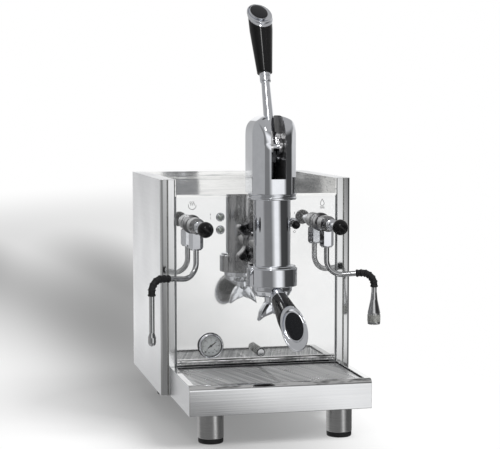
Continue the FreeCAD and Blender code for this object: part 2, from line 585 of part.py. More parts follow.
def build_group():
    """The brew group: a cast cylinder on a bolted neck, and the bell that takes the portafilter."""
    at = ("0", "group_y", "0")
    barrel = turned("group_barrel", [
        ("bore_radius", "group_low_z"), ("group_radius", "group_low_z"), ("group_radius", "group_top_z"),
        ("piston_rod_radius + rod_clearance", "group_top_z"),
        ("piston_rod_radius + rod_clearance", "chamber_top_z"), ("bore_radius", "chamber_top_z")], at)
    middle = ("0", "panel_face_y", "neck_z")
    neck = rod("group_neck", "neck_radius", "group_reach + panel_recess", middle, TOWARDS_FRONT)
    rise_z = "flange_half_z + flange_boss / 2"
    sheet = block("flange_sheet",
                  ("-flange_half_x", "panel_face_y - flange_thickness", f"neck_z - ({rise_z})"),
                  ("flange_half_x", "panel_face_y", f"neck_z + {rise_z}"))
    flange_parts = []
    hollows = []
    bolts = []
    for side in (-1, 1):
        hollow_at = (f"{side} * (flange_waist + flange_hollow)", "panel_face_y + overcut", "neck_z")
        hollows.append(rod("flange_hollow", "flange_hollow", "flange_thickness + 2 * overcut", hollow_at,
                           TOWARDS_FRONT))
        for rise in (-1, 1):
            place = (f"{side} * flange_half_x", "panel_face_y", f"neck_z + {rise} * flange_half_z")
            flange_parts.append(rod("flange_boss", "flange_boss", "flange_thickness", place, TOWARDS_FRONT))
            head = (place[0], "panel_face_y - flange_thickness", place[2])
            bolts.append(hexagon("flange_bolt", "bolt_size", "bolt_head", head, TOWARDS_FRONT))
    chamber = rod("group_chamber", "bore_radius", "chamber_top_z - group_low_z",
                  ("0", "group_y", "group_low_z"))
    feed = rod("group_feed", "neck_bore", "group_reach + panel_recess", middle, TOWARDS_FRONT)
    waisted = cut("flange_waisted", sheet, *hollows)
    casting = fuse("group_casting", barrel, neck, waisted, *flange_parts)
    keep(cut("group_body", casting, chamber, feed), "group_body")
    keep(group("flange_bolts", *bolts), "flange_bolts")

    ring = turned("bell_ring", [
        ("bore_radius", "bell_top_seat_z"), ("bell_seat_radius", "bell_top_seat_z"),
        ("bell_seat_radius", "bell_seat_z"), ("bell_groove_radius", "bell_seat_z"),
        ("bell_groove_radius", "bell_groove_z"), ("bell_lip_radius", "bell_groove_z"),
        ("bell_lip_radius", "bell_low_z"), ("bell_radius", "bell_low_z"),
        ("bell_radius", "group_low_z - bell_round", "bell_round"),
        ("bell_radius - bell_round", "group_low_z"), ("bore_radius", "group_low_z")], at)
    notch = block("bell_notch", ("-bell_groove_radius", "-notch_width / 2", "bell_low_z - overcut"),
                  ("bell_groove_radius", "notch_width / 2", "bell_groove_z"))
    placed = group("bell_notches", notch)
    seat(placed, at, (Vector(0, 0, 1), "-notch_turn"))
    keep(cut("group_bell", ring, placed), "group_bell")
    keep(turned("group_gasket", [
        ("gasket_inner", "gasket_low_z"), ("bell_seat_radius - fit_gap", "gasket_low_z"),
        ("bell_seat_radius - fit_gap", "bell_top_seat_z"), ("gasket_inner", "bell_top_seat_z")], at),
        "group_gasket")
    keep(turned("shower_screen", [
        ("0", "bell_top_seat_z - screen_thickness"),
        ("gasket_inner - fit_gap", "bell_top_seat_z - screen_thickness"),
        ("gasket_inner - fit_gap", "bell_top_seat_z"), ("0", "bell_top_seat_z")], at), "shower_screen")


def build_housing():
    """The lever housing: a block with chamfered front corners and a round top, slotted for the lever."""
    plan = [
        ("-housing_half", "housing_rear"), ("-housing_half", "-housing_flat_front"),
        ("-housing_chamfer_x", "-housing_chamfer_y"), ("-slot_width / 2", "-housing_nose"),
        ("slot_width / 2", "-housing_nose"), ("housing_chamfer_x", "-housing_chamfer_y"),
        ("housing_half", "-housing_flat_front"), ("housing_half", "housing_rear"),
    ]
    above = plate("housing_plan", "XY_Plane", plan, "housing_top_z - group_top_z",
                  ("0", "group_y", "group_top_z"))
    front = plate("housing_front_view", "XZ_Plane", [
        ("-housing_half", "group_top_z"), ("housing_half", "group_top_z"),
        ("housing_half", "dome_side_z", "housing_dome"), ("-housing_half", "dome_side_z")],
        "4 * housing_nose", ("0", "group_y", "0"), middle=True)
    side = plate("housing_side_view", "YZ_Plane", [
        ("-housing_nose", "group_top_z"), ("housing_rear", "group_top_z"),
        ("housing_rear", "housing_top_z"),
        ("-housing_nose + housing_front_round", "housing_top_z", "housing_front_round"),
        ("-housing_nose", "housing_front_round_z")], "4 * housing_half", ("0", "group_y", "0"), middle=True)
    ring = rod("housing_ring", "housing_ring_radius", "housing_ring_height",
               ("0", "group_y", "group_top_z"))
    hull = fuse("housing_hull", common("housing_block", above, front, side), ring)
    high = "housing_top_z + overcut"
    well = block("housing_well",
                 ("-slot_width / 2", "group_y - housing_nose + housing_front_wall", "housing_floor_z"),
                 ("slot_width / 2", "group_y + housing_rear - housing_rear_wall", high))
    mouth = block("housing_mouth", ("-slot_width / 2", "group_y - housing_nose - overcut", "slot_front_z"),
                  ("slot_width / 2", "group_y", high))
    rear = block("housing_rear_slot", ("-slot_width / 2", "group_y", "slot_rear_z"),
                 ("slot_width / 2", "group_y + housing_rear + overcut", high))
    rod_hole = rod("housing_rod_hole", "piston_rod_radius + rod_clearance",
                   "housing_ring_height + 2 * overcut",
                   ("0", "group_y", "group_top_z - overcut"))
    pin_hole = rod("housing_pin_hole", "pivot_radius + pin_clearance", "4 * housing_half",
                   ("-2 * housing_half", "pivot_y", "pivot_z"), ALONG_X)
    keep(cut("lever_housing", hull, well, mouth, rear, rod_hole, pin_hole), "lever_housing")
    keep(rod("pivot_pin", "pivot_radius", "2 * housing_half", ("-housing_half", "pivot_y", "pivot_z"),
             ALONG_X),
         "pivot_pin")


def along_lever(distance):
    """A point on the lever's line, measured from its nearest point to the pivot."""
    return ("0", f"lever_line_y + ({distance}) * sin(lever_lean)",
            f"lever_line_z + ({distance}) * cos(lever_lean)")


def along_handle(distance):
    """A point on the portafilter handle's line, measured from the bowl's wall."""
    return ("0", f"handle_root_y - ({distance}) * cos(handle_droop)",
            f"handle_root_z - ({distance}) * sin(handle_droop)")


def build_lever():
    """The forked hub on its pivot, the crank pin, the tapered rod, the ferrule and the grip."""
    lean = (Vector(1, 0, 0), "-lever_lean")
    pivot = ("-hub_half", "pivot_y", "pivot_z")
    crank = ("-hub_half", "crank_y", "crank_z")
    eye = rod("hub_eye", "hub_radius", "2 * hub_half", pivot, ALONG_X)
    boss = rod("hub_crank_boss", "crank_boss", "2 * hub_half", crank, ALONG_X)
    crank_web = solid("Part::Box", "hub_crank_web",
                      {"Length": "2 * hub_half", "Width": "crank_radius", "Height": "hub_web"},
                      ("-hub_half", "pivot_y + hub_web / 2 * sin(crank_angle)",
                       "pivot_z - hub_web / 2 * cos(crank_angle)"), (Vector(1, 0, 0), "crank_angle"))
    arm = solid("Part::Box", "hub_arm",
                {"Length": "2 * hub_half", "Width": "lever_offset + socket_radius / 2",
                                         "Height": "hub_web"},
                ("-hub_half", "pivot_y + socket_start * sin(lever_lean)",
                 "pivot_z + socket_start * cos(lever_lean)"),
                lean)
    gap = block("hub_gap", ("-hub_gap / 2", "pivot_y - 3 * hub_radius", "pivot_z - 3 * hub_radius"),
                ("hub_gap / 2", "pivot_y + 4 * hub_radius", "pivot_z + 4 * hub_radius"))
    cheeks = cut("hub_cheeks", fuse("hub_webs", eye, boss, crank_web, arm), gap)
    socket = rod("hub_socket", "socket_radius", "socket_end - socket_start", along_lever("socket_start"),
                 lean)
    eye_bore = rod("hub_eye_bore", "pivot_radius + hinge_clearance", "4 * hub_half",
                   ("-2 * hub_half", "pivot_y", "pivot_z"), ALONG_X)
    crank_bore = rod("hub_crank_bore", "crank_pin_radius + pin_clearance", "4 * hub_half",
                     ("-2 * hub_half", "crank_y", "crank_z"), ALONG_X)
    keep(cut("lever_hub", fuse("hub_blank", cheeks, socket), eye_bore, crank_bore), "lever_hub")
    keep(rod("crank_pin", "crank_pin_radius", "2 * hub_half", crank, ALONG_X), "crank_pin")
    keep(taper("lever_rod", "rod_low_radius", "rod_top_radius", "rod_length", along_lever("socket_end"),
               lean),
         "lever_rod")
    keep(rod("lever_ferrule", "ferrule_radius", "ferrule_length", along_lever("ferrule_start"), lean),
         "lever_ferrule")
    build_grip("lever", along_lever, "lever_grip_start", lean, -1)


def build_grip(name, along, start, turn, side):
    """A black grip, its bright end with one slanting face, and the oval badge plate on that face.

    side is the grip's own Y direction that the slanting face looks to, 1 or -1.
    """
    keep(turned(f"{name}_grip", [
        ("0", "0"), ("grip_root", "0", "grip_swell"), ("grip_end", "grip_length"), ("0", "grip_length")],
        along(start), turn), f"{name}_grip")
    end = turned(f"{name}_end_blank", [
        ("0", "0"), ("end_radius", "0"), ("end_radius", "end_straight", "end_dome_radius"),
        ("0", "end_length")])
    wide = "2 * end_radius"
    reach = "2 * end_length"

    def slab(label, low, high):
        """A slab on the slanting plane, from one height above it to another."""
        across = f"end_radius * {side} - {reach} * cos(end_cut) + ({low}) * {side} * sin(end_cut)"
        rise = f"end_cut_start + {side} * {reach} * sin(end_cut) + ({low}) * cos(end_cut)"
        return solid("Part::Box", label,
                     {"Length": f"2 * {wide}", "Width": f"2 * {reach}", "Height": f"({high}) - ({low})"},
                     (f"-{wide}", across, rise), (Vector(1, 0, 0), f"{-side} * end_cut"))

    def badge_bar(label, radius):
        """A bar along the grip whose slanting slice is the badge's oval."""
        return rod(label, radius, "3 * end_length", ("0", f"badge_rise * {side}", "-end_length"))

    seat_cut = common(f"{name}_badge_seat", badge_bar(f"{name}_seat_bar", "badge_radius + pin_clearance"),
                      slab(f"{name}_seat_slab", "-badge_sunk", "end_length"))
    bright = cut(f"{name}_end", end, slab(f"{name}_end_slab", "0", "2 * end_length"), seat_cut)
    badge = common(f"{name}_badge", badge_bar(f"{name}_badge_bar", "badge_radius"),
                   slab(f"{name}_badge_slab", "-badge_sunk", "badge_proud"))
    for piece, label in ((bright, f"{name}_end"), (badge, f"{name}_badge")):
        seat(piece, along(f"{start} + grip_length"), turn)
        keep(piece, label)


def build_piston():
    """The piston with its seal and rod, the crosshead that the crank pin lifts, and the spring."""
    at = ("0", "group_y", "0")
    seal_low = "piston_low_z + piston_height / 2 - seal_height / 2"
    seal_high = f"{seal_low} + seal_height"
    keep(turned("piston", [
        ("0", "piston_low_z"), ("piston_radius", "piston_low_z"), ("piston_radius", seal_low),
        ("seal_radius - seal_depth", seal_low), ("seal_radius - seal_depth", seal_high),
        ("piston_radius", seal_high), ("piston_radius", "piston_top_z"), ("0", "piston_top_z")], at),
        "piston")
    keep(turned("piston_seal", [
        ("seal_radius - seal_depth", seal_low), ("seal_radius", seal_low), ("seal_radius", seal_high),
        ("seal_radius - seal_depth", seal_high)], at), "piston_seal")
    shank = rod("piston_shank", "piston_rod_radius", "crank_z - crosshead_half_z - piston_top_z + overcut",
                ("0", "group_y", "piston_top_z"))
    head = block("crosshead",
                 ("-crosshead_half_x", "group_y - crosshead_half_y", "crank_z - crosshead_half_z"),
                 ("crosshead_half_x", "group_y + crosshead_half_y", "crank_z + crosshead_half_z"))
    yoke_rise = "crank_pin_radius + yoke_clearance"
    yoke = block("crosshead_slot",
                 ("-2 * crosshead_half_x", "group_y - yoke_half", f"crank_z - ({yoke_rise})"),
                 ("2 * crosshead_half_x", "group_y + yoke_half", f"crank_z + {yoke_rise}"))
    keep(cut("piston_rod", fuse("piston_rod_blank", shank, head), yoke), "piston_rod")
    keep(turned("piston_spring", [
        ("spring_inner", "piston_top_z + fit_gap"), ("spring_outer", "piston_top_z + fit_gap"),
        ("spring_outer", "chamber_top_z - fit_gap"), ("spring_inner", "chamber_top_z - fit_gap")], at),
        "piston_spring")


def build_portafilter():
    """The bowl with its two lugs and collar, the basket, the double spout and the grip."""
    at = ("0", "group_y", "0")
    droop = (Vector(1, 0, 0), "90 + handle_droop")
    bowl = turned("bowl_wall", [
        ("spout_bore", "bowl_low_z"), ("bowl_low_radius", "bowl_low_z"), ("bowl_radius", "bowl_taper_z"),
        ("bowl_radius", "bowl_rim_z"), ("bowl_bore", "bowl_rim_z"),
        ("bowl_bore", "bowl_low_z + bowl_floor"),
        ("spout_bore", "bowl_low_z + bowl_floor")], at)
    lugs = []
    for side in (-1, 1):
        lug_length = "(lug_reach - bowl_radius + overcut)"
        low_x = f"{side} * (lug_reach + bowl_radius - overcut) / 2 - {lug_length} / 2"
        low = (low_x, "group_y - lug_width / 2", "lug_low_z")
        high = (f"{low_x} + {lug_length}", "group_y + lug_width / 2", "lug_low_z + lug_height")
        lugs.append(block("bowl_lug", low, high))
    lug_limit = rod("lug_limit", "lug_reach", "lug_height", ("0", "group_y", "lug_low_z"))
    rounded_lugs = common("bowl_lugs", fuse("bowl_lug_pair", *lugs), lug_limit)
    inside = rod("bowl_inside", "bowl_bore", "bowl_rim_z - bowl_low_z",
                 ("0", "group_y", "bowl_low_z + bowl_floor"))
    collar = rod("handle_collar", "collar_radius", "collar_length + bowl_radius - bowl_bore",
                 along_handle("bowl_bore - bowl_radius"), droop)
    keep(cut("portafilter_body", fuse("bowl_blank", bowl, rounded_lugs, collar), inside),
         "portafilter_body")
    keep(turned("filter_basket", [
        ("0", "bowl_rim_z - basket_depth"), ("basket_radius", "bowl_rim_z - basket_depth"),
        ("basket_radius", "bowl_rim_z"), ("basket_rim", "bowl_rim_z"),
        ("basket_rim", "bowl_rim_z + basket_rim_height"),
        ("basket_radius - basket_wall", "bowl_rim_z + basket_rim_height"),
        ("basket_radius - basket_wall", "bowl_rim_z - basket_depth + basket_wall"),
        ("0", "bowl_rim_z - basket_depth + basket_wall")], at), "filter_basket")
    build_spout()
    build_grip("portafilter", along_handle, "collar_length", droop, 1)


def build_spout():
    """The double spout: a boss under the bowl and two horns that turn down."""
    boss_low = "bowl_low_z - spout_boss_length"
    bar_z = f"{boss_low} + spout_bar_rise"
    bend_x = "spout_half - spout_bend"
    bend_z = f"{bar_z} - spout_bend"
    boss = rod("spout_boss", "spout_boss_radius", "spout_boss_length", ("0", "group_y", boss_low))
    bar = rod("spout_bar", "spout_tube", f"2 * ({bend_x})", (f"-({bend_x})", "group_y", bar_z), ALONG_X)
    horns = []
    drills = [rod("spout_bore", "spout_bore", "spout_boss_length", ("0", "group_y", bar_z))]
    for side in (-1, 1):
        frame = (Vector(side, 0, 0), Vector(0, 0, 1), Vector(0, -side, 0))
        horns.append(elbow("spout_horn", "spout_bend", "spout_tube", "90",
                           (f"{side} * ({bend_x})", "group_y", bend_z), frame))
        tip = (f"{side} * spout_half", "group_y", f"{bend_z} - spout_tip_length")
        horns.append(taper("spout_tip", "spout_tip_radius", "spout_tube", "spout_tip_length", tip))
        below = (tip[0], "group_y", f"{tip[2]} - overcut")
        drills.append(rod("spout_drill", "spout_bore", "spout_tip_length", below))
    keep(cut("portafilter_spout", fuse("spout_blank", boss, bar, *horns), *drills), "portafilter_spout")


def build_taps():
    """The two taps: valve bodies on the panel, collets under them, and the tilting knobs."""
    bodies = []
    collets = []
    for side, name in ((-1, "steam"), (1, "water")):
        x = f"{side} * tap_spread"
        face = (x, "panel_face_y", "tap_z")
        bulge_low = "branch_place - tap_bulge"
        bulge_high = "branch_place + branch_radius + tap_bevel"
        shell = turned(f"{name}_valve_shell", [
            ("0", "0"), ("tap_flange", "0"), ("tap_flange", "tap_flange_height"),
            ("tap_body", "tap_flange_height + tap_bevel"), ("tap_body", bulge_low),
            ("tap_bulge", f"{bulge_low} + tap_slope"), ("tap_bulge", bulge_high),
            ("tap_mouth", f"{bulge_high} + tap_slope"), ("tap_mouth", "tap_length"),
            ("tap_mouth_bore", "tap_length"),
            ("tap_socket", "tap_tilt_place - stem_foot"), ("0", "tap_tilt_place - stem_foot - stem_point")],
            face, TOWARDS_FRONT)
        branch = rod(f"{name}_branch", "branch_radius", "branch_length - tap_body / 2",
                     (x, "branch_y", "branch_low_z"))
        bodies.append(fuse(f"{name}_valve", shell, branch))
        nut = hexagon(f"{name}_collet_hex", "collet_hex", "collet_hex_height",
                      (x, "branch_y", "branch_low_z - collet_hex_height"))
        skirt = rod(f"{name}_collet_skirt", "collet_radius", "collet_height - collet_hex_height",
                    (x, "branch_y", "collet_low_z"))
        bore = rod(f"{name}_collet_bore", "collet_bore", "collet_depth", (x, "branch_y", "collet_low_z"))
        collets.append(cut(f"{name}_collet", fuse(f"{name}_collet_blank", nut, skirt), bore))
        build_tap_knob(name, face)
    keep(group("valve_bodies", *bodies), "valve_bodies")
    keep(group("wand_collets", *collets), "wand_collets")


def build_tap_knob(name, face):
    """A tap's ringed stem, which tilts in the valve's mouth, and the black ball on it."""
    foot = "tap_tilt_place - stem_foot + fit_gap"
    collar = "tap_length + stem_gap + stem_slope"
    waist = f"{collar} + stem_band + stem_slope"
    ring = f"{waist} + stem_slope"
    keep(turned(f"{name}_stem", [
        ("0", f"{foot} - stem_point"), ("stem_radius", foot), ("stem_radius", "tap_length + stem_gap"),
        ("stem_collar", collar), ("stem_collar", f"{collar} + stem_band"), ("stem_neck", waist),
        ("stem_ring", ring), ("stem_ring", f"{ring} + stem_band"),
        ("stem_neck", f"{ring} + stem_band + stem_slope"),
        ("stem_neck", "knob_back"), ("0", "knob_back")], face, TOWARDS_FRONT), f"{name}_stem")
    keep(turned(f"{name}_knob", [
        ("0", "knob_back"), ("knob_back_radius", "knob_back", "knob_radius"),
        ("knob_radius", "knob_place", "knob_radius"), ("0", "knob_place + knob_radius")], face,
        TOWARDS_FRONT), f"{name}_knob")


def build_wands():
    """The bent steam and hot-water wands, each with a rubber sleeve on its elbow and an end fitting."""
    for name, side, low_z in (("steam", -1, "steam_low_z"), ("water", 1, "water_low_z")):
        angle = "180 + steam_swivel" if side < 0 else "-water_swivel"
        at = (f"{side} * tap_spread", "branch_y", "0")
        swivel = (Vector(0, 0, 1), angle)
        reach = f"{name}_reach"
        run = f"({reach} - wand_corner_x - elbow_span) / cos(wand_rise)"
        end_z = f"wand_corner_z + ({run}) * sin(wand_rise)"
        leg_z = f"{end_z} - wand_elbow * cos(wand_rise)"
        centre = (f"{reach} - wand_elbow", "0", leg_z)

        def tube(label, radius, whole):
            """The elbow with its two legs, whole or only where the sleeve covers them."""
            along = run if whole else "sleeve_run"
            drop = f"{leg_z} - {low_z}" if whole else "sleeve_drop"
            start = f"({run}) - ({along})"
            run_at = (f"wand_corner_x + ({start}) * cos(wand_rise)", "0",
                      f"wand_corner_z + ({start}) * sin(wand_rise)")
            legs = [
                rod(f"{label}_run", radius, along, run_at, (Vector(0, 1, 0), "90 - wand_rise")),
                elbow(f"{label}_elbow", "wand_elbow", radius, "90 + wand_rise", centre,
                      (Vector(1, 0, 0), Vector(0, 0, 1), Vector(0, -1, 0))),
                rod(f"{label}_leg", radius, drop, (reach, "0", f"{leg_z} - ({drop})")),
            ]
            if whole:
                legs.append(elbow(f"{label}_bend", "wand_bend", radius, "90 + wand_rise",
                                  ("wand_bend", "0", "wand_bend_z"),
                                  (Vector(-1, 0, 0), Vector(0, 0, -1), Vector(0, -1, 0))))
                legs.append(rod(f"{label}_top", radius, "wand_top_z - wand_bend_z",
                                ("0", "0", "wand_bend_z")))
            return fuse(label, *legs)

        wand = seat(tube(f"{name}_wand", "wand_radius", True), at, swivel)
        keep(wand, f"{name}_wand")
        sleeve = cut(f"{name}_sleeve", tube(f"{name}_sleeve_outer", "sleeve_radius", False),
                     tube(f"{name}_sleeve_bore", "wand_radius + sleeve_clearance", False))
        keep(seat(sleeve, at, swivel), f"{name}_sleeve")
        build_wand_end(name, low_z, reach, at, swivel)


def build_wand_end(name, low_z, reach, at, swivel):
    """The steam tip or the hot-water nozzle, at the foot of its wand."""
    if name == "steam":
        end = turned("steam_tip_blank", [
            ("0", f"{low_z} - tip_length"), ("tip_radius / 2", f"{low_z} - tip_length", "tip_radius"),
            ("tip_radius", f"{low_z} - tip_length + tip_shoulder"),
            ("tip_radius", f"{low_z} - tip_shoulder"),
            ("wand_radius", low_z), ("0", low_z)], (reach, "0", "0"))
    else:
        foot = f"{low_z} - nozzle_cone - nozzle_length"
        end = turned("water_nozzle_blank", [
            ("nozzle_bore", foot), ("nozzle_radius", foot), ("nozzle_radius", f"{foot} + nozzle_length"),
            ("wand_radius", low_z), ("0", low_z), ("0", f"{foot} + nozzle_bore_depth"),
            ("nozzle_bore", f"{foot} + nozzle_bore_depth")], (reach, "0", "0"))
    label = "steam_tip" if name == "steam" else "water_nozzle"
    placed = group(label, end)
    keep(seat(placed, at, swivel), label)


def build_controls():
    """The lamps, the toggle switch, the pressure gauge and the drain knob on the front panel."""
    lamps = []
    for z in ("lamp_high_z", "lamp_low_z"):
        bezel = "lamp_barrel_length + lamp_bezel"
        lamps.append(turned("lamp", [
            ("0", "0"), ("lamp_barrel", "0"), ("lamp_barrel", "lamp_barrel_length"),
            ("lamp_radius", "lamp_barrel_length"), ("lamp_radius", bezel),
            ("lamp_barrel", f"{bezel} + lamp_dome / 2"), ("0", f"{bezel} + lamp_dome")],
            ("lamp_x", "panel_face_y + lamp_barrel_length", z), TOWARDS_FRONT))
    keep(group("indicator_lamps", *lamps), "indicator_lamps")

    keep(turned("switch_body", [
        ("0", "0"), ("switch_barrel", "0"), ("switch_barrel", "switch_depth - panel_thickness"),
        ("switch_bush", "switch_depth - panel_thickness"), ("switch_bush", "switch_depth"),
        ("switch_nut", "switch_depth"), ("switch_nut", "switch_depth + nut_height"),
        ("switch_bush", "switch_depth + nut_height + nut_bevel"),
        ("switch_bush", "switch_depth + bush_length"),
        ("bush_mouth", "switch_depth + bush_length"), ("bush_bottom", "switch_depth - bush_depth"),
        ("0", "switch_depth - bush_depth")],
        ("switch_x", "panel_face_y + switch_depth", "switch_z"), TOWARDS_FRONT), "switch_body")
    keep(turned("switch_toggle", [
        ("0", "-bat_foot"), ("bat_stalk", "-bat_foot"), ("bat_stalk", "bat_stalk_length"),
        ("bat_low_radius", "bat_stalk_length + bat_slope"),
        ("bat_radius", "bat_length - bat_round - bat_tip"),
        ("bat_low_radius", "bat_length - bat_tip"), ("0", "bat_length")],
        ("switch_x", "panel_face_y - bat_pivot", "switch_z"), (Vector(1, 0, 0), "90 + bat_droop")),
        "switch_toggle")

    at = ("gauge_x", "panel_face_y + gauge_depth", "gauge_z")
    front = "gauge_depth + gauge_proud"
    keep(turned("gauge_case", [
        ("0", "0"), ("gauge_can", "0"), ("gauge_can", "gauge_depth"), ("gauge_radius", "gauge_depth"),
        ("gauge_radius", f"{front} - gauge_bevel"), ("gauge_radius - gauge_bevel", front),
        ("dial_radius + gauge_flare", front),
        ("dial_radius + fit_gap", "gauge_floor"), ("0", "gauge_floor")], at, TOWARDS_FRONT), "gauge_case")
    dial_top = "gauge_floor + dial_thickness"
    keep(turned("gauge_dial", [
        ("0", "gauge_floor"), ("dial_radius", "gauge_floor"), ("dial_radius", dial_top), ("0", dial_top)],
        at, TOWARDS_FRONT), "gauge_dial")
    needle_y = f"panel_face_y + gauge_depth - ({dial_top}) - fit_gap"
    pointer = solid("Part::Box", "needle_blade",
                    {"Length": "needle_length + needle_tail", "Width": "needle_width",
                                                  "Height": "needle_thickness"},
                    ("-needle_tail", "-needle_width / 2", "0"))
    hub = rod("needle_hub", "needle_hub", "2 * needle_thickness", ("0", "0", "0"))
    needle = fuse("needle_flat", pointer, hub)
    seat(needle, turn=(Vector(0, 0, 1), "needle_angle"))
    keep(seat(group("gauge_needle", needle), ("gauge_x", needle_y, "gauge_z"), TOWARDS_FRONT),
         "gauge_needle")
    glass_low = f"{front} - glass_sink - glass_thickness"
    keep(turned("gauge_glass", [
        ("0", glass_low), ("dial_radius + fit_gap", glass_low),
        ("dial_radius + fit_gap", f"{front} - glass_sink"),
        ("0", f"{front} - glass_sink")], at, TOWARDS_FRONT), "gauge_glass")

    head = "drain_tail + drain_gap"
    keep(turned("drain_knob", [
        ("0", "0"), ("drain_shaft", "0"), ("drain_shaft", head), ("drain_radius - drain_bevel", head),
        ("drain_radius", f"{head} + drain_bevel"), ("drain_radius", f"{head} + drain_length - drain_bevel"),
        ("drain_radius - drain_bevel", f"{head} + drain_length"), ("0", f"{head} + drain_length")],
        ("0", "panel_face_y + drain_tail", "drain_z"), TOWARDS_FRONT), "drain_knob")


def build_inside():
    """The boiler with its heater and pipes, the water tank and the pump."""
    at = ("-boiler_half", "boiler_y", "boiler_z")
    keep(turned("boiler", [
        ("heater_hole", "0"), ("boiler_radius", "0"), ("boiler_radius", "boiler_length"),
        ("0", "boiler_length"),
        ("0", "boiler_length - boiler_wall"),
        ("boiler_radius - boiler_wall", "boiler_length - boiler_wall"),
        ("boiler_radius - boiler_wall", "boiler_wall"), ("heater_hole", "boiler_wall")], at, ALONG_X),
        "boiler")
    flange = rod("heater_plate", "heater_flange", "heater_flange_thickness",
                 ("-boiler_half - heater_flange_thickness", "boiler_y", "boiler_z"), ALONG_X)
    rods = []
    for side in (-1, 1):
        start = ("-boiler_half - overcut", "boiler_y", f"boiler_z + {side} * heater_spacing / 2")
        rods.append(rod("heater_rod", "heater_rod", "heater_reach + overcut", start, ALONG_X))
    bend = elbow("heater_bend", "heater_spacing / 2", "heater_rod", "180",
                 ("-boiler_half + heater_reach", "boiler_y", "boiler_z"),
                 (Vector(0, 0, -1), Vector(1, 0, 0), Vector(0, -1, 0)))
    keep(fuse("heating_element", flange, *rods, bend), "heating_element")

    pipes = [rod("group_pipe", "neck_bore", "boiler_y - panel_face_y", ("0", "panel_face_y", "neck_z"),
                 TOWARDS_BACK)]
    for side in (-1, 1):
        x = f"{side} * tap_spread"
        bend_y = "boiler_y - pipe_bend"
        straight = rod("tap_pipe", "pipe_radius", f"{bend_y} - panel_face_y", (x, "panel_face_y", "tap_z"),
                       TOWARDS_BACK)
        turn = elbow("tap_pipe_bend", "pipe_bend", "pipe_radius", "90",
                     (f"{side} * (tap_spread - pipe_bend)", bend_y, "tap_z"),
                     (Vector(side, 0, 0), Vector(0, 1, 0), Vector(0, 0, side)))
        low_x = "boiler_half" if side > 0 else "-tap_spread + pipe_bend"
        short = rod("tap_pipe_end", "pipe_radius", "boiler_stub",
                    (low_x, "boiler_y", "tap_z"), ALONG_X)
        pipes.append(fuse("tap_pipe_whole", straight, turn, short))
    boiler_space = rod("boiler_space", "boiler_radius", "boiler_length", at, ALONG_X)
    pipes[0] = cut("group_pipe_cut", pipes[0], boiler_space)
    keep(group("boiler_pipes", *pipes), "boiler_pipes")

    tank = block("tank_block", ("-tank_width / 2", "tank_y", "base_top"),
                 ("tank_width / 2", "tank_y + tank_depth", "base_top + tank_height"))
    tank_space = block("tank_space",
                       ("-tank_width / 2 + tank_wall", "tank_y + tank_wall", "base_top + tank_wall"),
                       ("tank_width / 2 - tank_wall", "tank_y + tank_depth - tank_wall",
                        "base_top + tank_height + overcut"))
    keep(cut("water_tank", tank, tank_space), "water_tank")

    start = ("pump_x - pump_length / 2", "pump_y", "pump_axis_z")
    barrel = rod("pump_barrel", "pump_radius / 2", "pump_length", start, ALONG_X)
    coil = block("pump_coil", ("pump_x - pump_coil_length / 2", "pump_y - pump_coil / 2", "base_top"),
                 ("pump_x + pump_coil_length / 2", "pump_y + pump_coil / 2", "pump_axis_z + pump_radius"))
    foot = block("pump_foot", ("pump_x - pump_coil_length / 2", "pump_y - pump_foot_width / 2", "base_top"),
                 ("pump_x + pump_coil_length / 2", "pump_y + pump_foot_width / 2", "base_top + pump_foot"))
    keep(fuse("pump", barrel, coil, foot), "pump")


def check_document():
    """Stops if any object failed, or if a piece has no valid solid."""
    for item in doc.Objects:
        if "Invalid" in item.State or "Error" in item.State:
            raise RuntimeError(f"{item.Label} failed: {item.State}")
    for item in nodes:
        if item.Shape.isNull() or not item.Shape.isValid() or not item.Shape.Solids:
            raise RuntimeError(f"{item.Label} has no valid solid")


def write_parts():
    """Writes each piece to its own file."""
    os.makedirs("parts", exist_ok=True)
    for item in nodes:
        item.Shape.exportStep(f"parts/{item.Label}.step")
    box = FreeCAD.BoundBox()
    for item in nodes:
        box.add(item.Shape.BoundBox)
    print(f"{len(nodes)} pieces, box {box}")


fill_sheet()
build_case()
build_feet()
build_drip_tray()
build_group()
build_housing()
build_piston()
build_lever()
build_portafilter()
build_taps()
build_wands()
build_controls()
build_inside()
doc.recompute()
check_document()
write_parts()
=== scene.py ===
"""Lever espresso machine: its looks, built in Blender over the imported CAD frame.

Lengths in this file are millimetres in the machine's own frame (+Z up, -Y towards the person who
uses it) and become metres when a mesh is made. The studio's lengths are metres.
"""

import logging
import math
from dataclasses import dataclass, field
from enum import Enum
from typing import Any, Callable, Iterable, Sequence

import bmesh
import bpy
from mathutils import Matrix, Vector


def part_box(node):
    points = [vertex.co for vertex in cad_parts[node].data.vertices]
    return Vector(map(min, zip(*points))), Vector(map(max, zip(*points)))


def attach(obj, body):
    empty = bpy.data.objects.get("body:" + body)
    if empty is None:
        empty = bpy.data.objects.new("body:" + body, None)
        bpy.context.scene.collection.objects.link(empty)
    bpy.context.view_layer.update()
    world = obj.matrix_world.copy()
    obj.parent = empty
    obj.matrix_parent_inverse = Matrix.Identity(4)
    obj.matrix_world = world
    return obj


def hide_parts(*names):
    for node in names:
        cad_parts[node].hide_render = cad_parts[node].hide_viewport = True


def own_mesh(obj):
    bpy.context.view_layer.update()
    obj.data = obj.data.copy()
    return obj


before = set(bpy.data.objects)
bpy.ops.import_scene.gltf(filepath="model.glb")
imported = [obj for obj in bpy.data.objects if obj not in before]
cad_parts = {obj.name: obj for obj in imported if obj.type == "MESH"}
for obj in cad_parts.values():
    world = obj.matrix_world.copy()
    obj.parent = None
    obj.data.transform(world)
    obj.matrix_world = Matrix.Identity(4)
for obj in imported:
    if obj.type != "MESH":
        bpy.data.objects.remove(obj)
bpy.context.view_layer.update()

LOG = logging.getLogger("espresso_machine")
METRE = 1000.0
